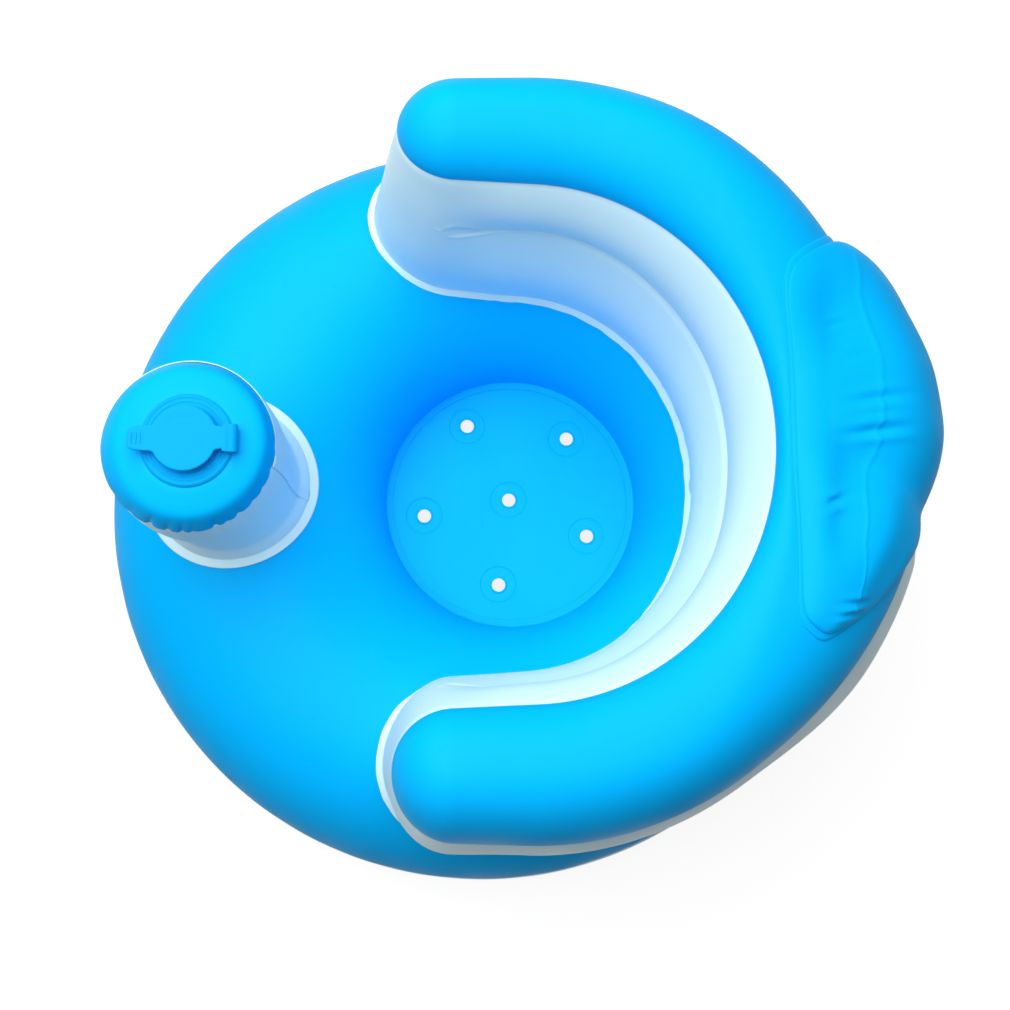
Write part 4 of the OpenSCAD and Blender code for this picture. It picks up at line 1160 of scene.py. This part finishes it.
def gatherAt(turn):
    # 0 on the scallops between the creases, and negative in a crease
    depth = 0.0
    for place, deep, wide in gathers:
        off = abs(turnFrom(turn, place))
        if off < gatherShape["reach"]:
            swell = bump(off - gatherShape["swellAt"] * wide, gatherShape["swellWidth"] * wide)
            depth -= deep * (bump(off, wide) - gatherShape["swell"] * swell)
    return depth


def postPoint(turn, v, inset=0.0):
    start = Vector((*postFootXY(turn, post["footRadius"] - inset), postFootZ(turn, inset)))
    edge = post["capRadius"] * rimSquash(turn, v) - inset - post["tuck"]
    edge += post["gatherShare"] * gatherAt(turn) * v ** post["gatherPower"]
    high = soft((v - post["lipFrom"]) / post["lipRun"])
    edge += post["lip"] * bump(turnFrom(turn, post["lipAt"]), post["lipWidth"]) * high
    end = leaning((edge * cosOf(turn), edge * sinOf(turn), post["length"]))
    slack = post["slack"] * wander(start[0], start[1], 90 * v, post["slackWidth"])
    swell = (post["swell"] + slack) * sinOf(180 * v)
    drawn = post["flare"] * soft(v / post["flareHeight"])
    drawn *= 1 - soft((v - post["flareFrom"]) / post["flareFade"])
    return tuple(start + (end - start) * v + Vector((cosOf(turn), sinOf(turn), 0)) * (swell - drawn))


postTurns = [360 * k / post["stations"] for k in range(post["stations"])]
postShares = [0, 0.012, 0.03, 0.05, 0.07, 0.09, 0.11, *(0.14 + 0.06 * k for k in range(14)), 0.96, 0.985, 1.0]
addGrid("postWall", [[postPoint(turn, v) for v in postShares] for turn in postTurns], whiteVinyl,
        "white_vinyl", loopRows=True, flip=True, thick=vinyl["skin"], soften=0, stands=["post_wall"])


def postFootRow(turn):
    row = []
    for inset in (*post["footInsets"], -post["flange"]):
        x, y = postFootXY(turn, post["footRadius"] - inset)
        ruffle = abs(wander(x, y, 5, post["ruffleWidth"])) * post["ruffle"] * clamp(-inset / post["flange"])
        row.append((x, y, postFootZ(turn, inset) + post["footStand"] + ruffle))
    return row


addGrid("postFoot", [postFootRow(turn) for turn in postTurns], whiteWeld, "white_vinyl", loopRows=True,
        thick=vinyl["weld"], stands=["post_foot_weld"])

sideSeam = {
    "turn": 360 * 6 / 28, "width": 6, "inset": -0.57, "thick": 0.5, "rows": 24, "cols": 4, "low": 0.01,
    "run": 0.985,
}
seamSpan = math.degrees(sideSeam["width"] / post["footRadius"])
seamRows = [[postPoint(sideSeam["turn"] + seamSpan * k / sideSeam["cols"],
                       sideSeam["low"] + sideSeam["run"] * seamStep / sideSeam["rows"], sideSeam["inset"])
             for k in range(sideSeam["cols"] + 1)] for seamStep in range(sideSeam["rows"] + 1)]
addGrid("postSeam", seamRows, whiteWeld, "white_vinyl", thick=sideSeam["thick"], stands=["post_side_seam"])


capSkirt = [  # out and up, from the rim over the steep skirt and its bend to the flat top
    (44.5, 0), (44.35, 0.9), (44.0, 2.2), (43.3, 4.2), (42.4, 6.4), (41.4, 8.6), (40.3, 10.8), (39.1, 12.7),
    (37.8, 14.2), (36.2, 15.3), (34.2, 16.1), (31.8, 16.9), (29.2, 17.7), (26.6, 18.5), (24.5, 19),
]
capRings = (22.5, 20.0, 17.0, 14.2)  # on the flat top, in to the valve's neck


def capPoint(turn, r, up):
    fold = gatherAt(turn) * (1 - soft((up - post["foldFrom"]) / post["foldFade"]))
    high = soft(up / post["dome"])
    r = (r + post["gatherDepth"] * fold) * rimSquash(turn, 1 - high)
    return leaning((r * cosOf(turn), r * sinOf(turn) + post["valveBack"] * high,
                    post["length"] + up + post["foldLift"] * fold * bump(up, post["foldHigh"])))


def capRow(turn):
    rim = capPoint(turn, *capSkirt[0])
    inner = post["capRadius"] * rimSquash(turn, 1) - post["hemIn"]
    low = leaning((inner * cosOf(turn), inner * sinOf(turn), post["length"] - post["hemDown"]))
    row = [tuple(mix(low, rim, post["hemShare"])), *(tuple(capPoint(turn, r, up)) for r, up in capSkirt)]
    return row + [onCap(r * cosOf(turn), r * sinOf(turn), 0) for r in capRings]


def onCap(x, y, z):  # a place over the cap's flat top, which carries the valve
    return tuple(leaning((x, y + post["valveBack"], post["length"] + post["dome"] + z)))


addGrid("postCap", [capRow(turn) for turn in postTurns], blueVinyl, "blue_vinyl", loopRows=True, flip=True,
        thick=vinyl["skin"], soften=0, stands=["post_cap"])
print("post made")

# ---- air valve
valve = {
    "flangeRadius": 23.5, "flangeThickness": 1.2, "neckRadius": 14, "boreRadius": 11, "neckHeight": 5,
    "sleeveDepth": 16, "lidRadius": 16.5, "lidThickness": 2, "plugDepth": 2.5, "plugRoom": 0.7,
    "tabReach": 28, "tabWidth": 13, "strapWidth": 14, "armWidth": 11.6, "strapThickness": 1.2,
    "foldReach": 26, "foldThickness": 0.8, "strapFree": 3, "ridges": (17.6, 19.8, 22.0), "ridgeHeight": 0.42,
    "steps": 96, "lidSteps": 192, "cornerBlend": 2.6, "tabCorner": 6, "armCorner": 14, "foldSteps": 16,
    "strapSides": 16, "strapSquare": (0.12, 0.5), "ridgeFoot": 0.75, "ridgeTop": 0.35,
    "lineRadius": 10.1, "lineHalf": 0.5, "lineDepth": 0.14, "topRing": 13.43,  # a shallow line round the lid
    "strapTuck": 4.2,  # how far the strap's lower end lies in under the neck
    "strapRows": ((1.8, 0.8, 1.3), (0.4, 1.12, 1.9), (-1.8, 1.12, 1.9)),  # past the arm, up, thickness
}
neckTop = valve["flangeThickness"] + valve["neckHeight"]
foldRadius = (valve["neckHeight"] + valve["strapThickness"]) / 2
foldY = valve["foldReach"] - foldRadius
foldZ = valve["flangeThickness"] + foldRadius
lidArm = foldY - valve["strapFree"]


def valveProfile():
    flange, bore, neck = valve["flangeThickness"], valve["boreRadius"], valve["neckRadius"]
    rim, ridge = valve["flangeRadius"], flange + valve["ridgeHeight"]
    wide, top = valve["ridgeFoot"], valve["ridgeTop"]
    path = [(bore, -valve["sleeveDepth"]), (neck, -valve["sleeveDepth"]), (neck, -0.1), (neck + 0.4, 0.05),
            (rim - 0.5, 0.05), (rim, 0.3), (rim, 0.6), (rim - 0.6, flange - 0.1)]
    for r in reversed(valve["ridges"]):
        path += [(r + wide, flange), (r + top, ridge), (r - top, ridge), (r - wide, flange)]
    return path + [(neck + 0.8, flange), (neck + 0.1, flange + 0.5), (neck, neckTop - 0.5),
                   (neck - 0.4, neckTop), (bore + 0.4, neckTop), (bore, neckTop - 0.4)]


valvePoints, valveFaces = [], []
addLathe(valvePoints, valveFaces, valveProfile(),
         lambda r, turn, z: onCap(r * cosOf(turn), r * sinOf(turn), z), valve["steps"])
addPiece("valveBody", valvePoints, valveFaces, blueMoulding, "blue_moulding", stands=["valve_body"],
         closed=True)


def smoothMax(a, b, k):
    h = clamp(0.5 + 0.5 * (a - b) / k)
    return mix(b, a, h) + k * h * (1 - h)


def armReach(turn, reach, half, roundness):
    # how far a round-cornered arm goes in a direction, counted from its own middle line
    c, s = cosOf(turn), abs(sinOf(turn))
    if c <= 0:
        return 0.0
    return ((c / reach) ** roundness + (s / half) ** roundness) ** (-1 / roundness)


def lidReach(turn):
    # turn 270 looks along the tab and turn 90 along the strap's arm
    tab = armReach(turn - 270, valve["tabReach"], valve["tabWidth"] / 2, valve["tabCorner"])
    arm = armReach(turn - 90, lidArm, valve["armWidth"] / 2, valve["armCorner"])
    return smoothMax(valve["lidRadius"], max(tab, arm), valve["cornerBlend"])


def lidMesh():
    # rings outwards over the top with its shallow round line, over the edge and back underneath to the plug
    steps, points = valve["lidSteps"], []
    thick, plug, deep = valve["lidThickness"], valve["boreRadius"] - valve["plugRoom"], -valve["plugDepth"]
    line, half = valve["lineRadius"], valve["lineHalf"]
    for k in range(steps):
        turn = 360 * k / steps
        edge = lidReach(turn)
        row = [(0.06 * edge, thick), (0.25 * edge, thick), (line - half, thick),
               (line, thick - valve["lineDepth"]), (line + half, thick), (valve["topRing"], thick),
               (edge - 0.9, thick), (edge - 0.3, thick - 0.18), (edge, thick - 0.6),
               (edge, 0.55), (edge - 0.3, 0.12), (edge - 0.9, 0.02), (plug + 0.02 * edge, 0.0), (plug, -0.3),
               (plug, deep + 0.3), (plug - 0.3, deep), (plug - 1.4, deep), (plug - 1.6, deep + 0.2),
               (plug - 1.6, 0.3), (0.25 * edge, 0.3), (0.06 * edge, 0.3)]
        points += [onCap(r * cosOf(turn), r * sinOf(turn), neckTop + z) for r, z in row]
    wide = len(row)
    ends = [tuple(k * wide for k in range(steps)), tuple(k * wide + wide - 1 for k in reversed(range(steps)))]
    return points, gridFaces(steps, wide, loopRows=True) + ends


lidPoints, lidFaces = lidMesh()
addPiece("valveLid", lidPoints, lidFaces, blueMoulding, "blue_moulding", stands=["valve_lid"], body="lid",
         closed=True)

grip = {
    "count": 3, "pitch": 2.2, "length": 6.5, "width": 0.8, "height": 0.4, "start": 1.2, "sunk": 0.06,
    "rows": 13, "sides": 10, "square": 6, "tip": 0.04,
}


def tubeFaces(rows, sides):
    # a closed tube with an end face at both ends
    ends = [tuple(range(sides)), tuple((rows - 1) * sides + j for j in reversed(range(sides)))]
    return gridFaces(rows, sides, loopCols=True) + ends


def addRidge(name, x0, x1, y, width, height, z, body):
    # a low ridge with round ends
    points, rows, sides = [], grip["rows"], grip["sides"]
    for k in range(rows):
        share = k / (rows - 1)
        narrow = math.sqrt(max(grip["tip"], 1 - abs(mix(-1, 1, share)) ** grip["square"]))
        points += [onCap(mix(x0, x1, share), y + width / 2 * narrow * cosOf(turn),
                         z + height * narrow * sinOf(turn))
                   for turn in (180 * j / (sides - 1) for j in range(sides))]
    return addPiece(name, points, tubeFaces(rows, sides), blueMoulding, "blue_moulding", body=body,
                    closed=True)


for gripNumber in range(grip["count"]):
    addRidge(f"tabGrip{gripNumber + 1}", -grip["length"] / 2, grip["length"] / 2,
             -valve["tabReach"] + (gripNumber + grip["start"]) * grip["pitch"], grip["width"], grip["height"],
             neckTop + valve["lidThickness"] - grip["sunk"], "lid")


def squareWave(value, power):  # a sine or cosine made squarer
    return math.copysign(abs(value) ** power, value) if abs(value) > 1e-6 else 0.0


def strapMesh():
    # the strap's middle line as (y, z, thickness), with its section set square to it
    half, thin = valve["strapWidth"] / 2, valve["foldThickness"]
    sides, steps = valve["strapSides"], valve["foldSteps"]
    r, (wideSquare, thickSquare) = foldRadius - thin / 2, valve["strapSquare"]
    line = [(foldY - valve["strapTuck"], valve["flangeThickness"] + valve["ridgeHeight"] + thin / 2, thin)]
    for turn in (mix(-90, 90, k / steps) for k in range(steps + 1)):
        line.append((foldY + r * cosOf(turn), foldZ + r * sinOf(turn), thin))
    line += [(lidArm + past, neckTop + up, thick) for past, up, thick in valve["strapRows"]]
    points = []
    for k, (y, z, thick) in enumerate(line):
        before, after = line[max(0, k - 1)], line[min(len(line) - 1, k + 1)]
        run = Vector((after[0] - before[0], after[1] - before[1])).normalized()
        for turn in (360 * j / sides for j in range(sides)):
            up = thick / 2 * squareWave(sinOf(turn), thickSquare)
            across = half * squareWave(cosOf(turn), wideSquare)
            points.append(onCap(across, y - run[1] * up, z + run[0] * up))
    return points, tubeFaces(len(line), sides)


strapPoints, strapFaces = strapMesh()
valveStrap = addPiece("valveStrap", strapPoints, strapFaces, blueMoulding, "blue_moulding",
                      stands=["valve_strap"], closed=True, body=None)
hingeCentre = Vector(toFrame(onCap(0, foldY, foldZ)))


def strapWeight(co):
    # a weight by the angle round the fold, rising evenly from 0 to 1 over half a turn
    y, z = (Vector(co) - hingeCentre)[1:]
    lean = math.radians(post["lean"])
    across, up = y * math.cos(lean) + z * math.sin(lean), z * math.cos(lean) - y * math.sin(lean)
    if across < 0:
        return 1.0 if up > 0 else 0.0
    return clamp(math.degrees(math.atan2(up, across)) / 180 + 0.5)


setBlend(valveStrap, strapWeight)
print("valve made")

# ---- the frame's own nodes that stay
for nodeName, material in (
    ("valve_insert", whiteMoulding), ("valve_flap", flapRubber), ("pump_inlet_body", blueMoulding),
    ("pump_inlet_flap", flapRubber), ("pump_outlet_body", whiteMoulding), ("pump_outlet_flap", flapRubber),
):
    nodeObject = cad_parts[nodeName]
    for materialSlot in nodeObject.material_slots:
        materialSlot.material = material

# ---- camera, light and floor
camera = {
    "place": (134.65, -49.06, 927.23), "forward": (-0.14856, 0.05082, -0.98760),
    "right": (0.00334, 0.99870, 0.05089), "down": (0.98890, 0.00426, -0.14853), "lens": 49.90,
}
cameraData = bpy.data.cameras.new("photoCamera")
cameraData.lens, cameraData.sensor_width = camera["lens"], 36
cameraObject = placeObject("photoCamera", cameraData)
right, down, forward = (Vector(camera[k]).normalized() for k in ("right", "down", "forward"))
turned = Matrix((right, -down, -forward)).transposed().to_4x4()
cameraObject.matrix_world = Matrix.Translation(Vector(toFrame(camera["place"]))) @ turned
bpy.context.scene.camera = cameraObject

light = {
    "power": 31, "size": 1.75, "place": (-0.36, -0.38, 1.36), "aim": (0.0, 0.0, 0.12),
    "sky": 0.17, "ground": 0.22, "seen": 0.78,  # what lights the object, and the floor's shade as it is seen
    "glow": 1.2, "glowShare": 0.72, "paperRoughness": 0.9, "floorSize": 4, "floorDrop": 0.0005,
}
lampData = bpy.data.lights.new("keyLight", "AREA")
lampData.shape = "DISK"
lampData.energy, lampData.size = light["power"], light["size"]
lamp = placeObject("keyLight", lampData)
lamp.location = light["place"]
lamp.rotation_euler = (lamp.location - Vector(light["aim"])).to_track_quat("Z", "Y").to_euler()


def whiteRays(tree):
    # 1 for the rays that see a plain white studio instead of what lights the object
    path = tree.nodes.new("ShaderNodeLightPath").outputs
    shiny = addMath(tree, "MAXIMUM", path["Is Glossy Ray"], path["Is Transmission Ray"])
    return addMath(tree, "MAXIMUM", path["Is Camera Ray"], shiny)


world = bpy.data.worlds.new("studio")
bpy.context.scene.world = world
world.use_nodes = True
worldTree = world.node_tree
sky = worldTree.nodes["Background"]
sky.inputs["Color"].default_value = (1, 1, 1, 1)
feed(worldTree, addRange(worldTree, whiteRays(worldTree), 0, 1, light["sky"], 1.0), sky.inputs["Strength"])

ground = bmesh.new()
bmesh.ops.create_grid(ground, x_segments=1, y_segments=1, size=light["floorSize"])
groundMesh = bpy.data.meshes.new("studioFloor")
ground.to_mesh(groundMesh)
ground.free()
studioFloor = placeObject("studioFloor", groundMesh)
studioFloor.location.z = -light["floorDrop"]
paper = bpy.data.materials.new("paperFloor")
paper.use_nodes = True
paperTree = paper.node_tree
plainPaper = paperTree.nodes["Principled BSDF"]
shades = [(light[key],) * 3 + (1,) for key in ("ground", "seen")]
feed(paperTree, addTint(paperTree, whiteRays(paperTree), *shades), plainPaper.inputs["Base Color"])
plainPaper.inputs["Roughness"].default_value = light["paperRoughness"]
plainPaper.inputs["Specular IOR Level"].default_value = 0.0
glow = paperTree.nodes.new("ShaderNodeEmission")
brighter = paperTree.nodes.new("ShaderNodeMixShader")
glow.inputs["Strength"].default_value = light["glow"]
seenGlow = addMath(paperTree, "MULTIPLY", whiteRays(paperTree), light["glowShare"])
for source, target in ((seenGlow, brighter.inputs["Fac"]), (plainPaper.outputs[0], brighter.inputs[1]),
                       (glow.outputs[0], brighter.inputs[2]),
                       (brighter.outputs[0], paperTree.nodes["Material Output"].inputs["Surface"])):
    feed(paperTree, source, target)
groundMesh.materials.append(paper)
bpy.context.scene.view_settings.view_transform = "Standard"
print("studio made")
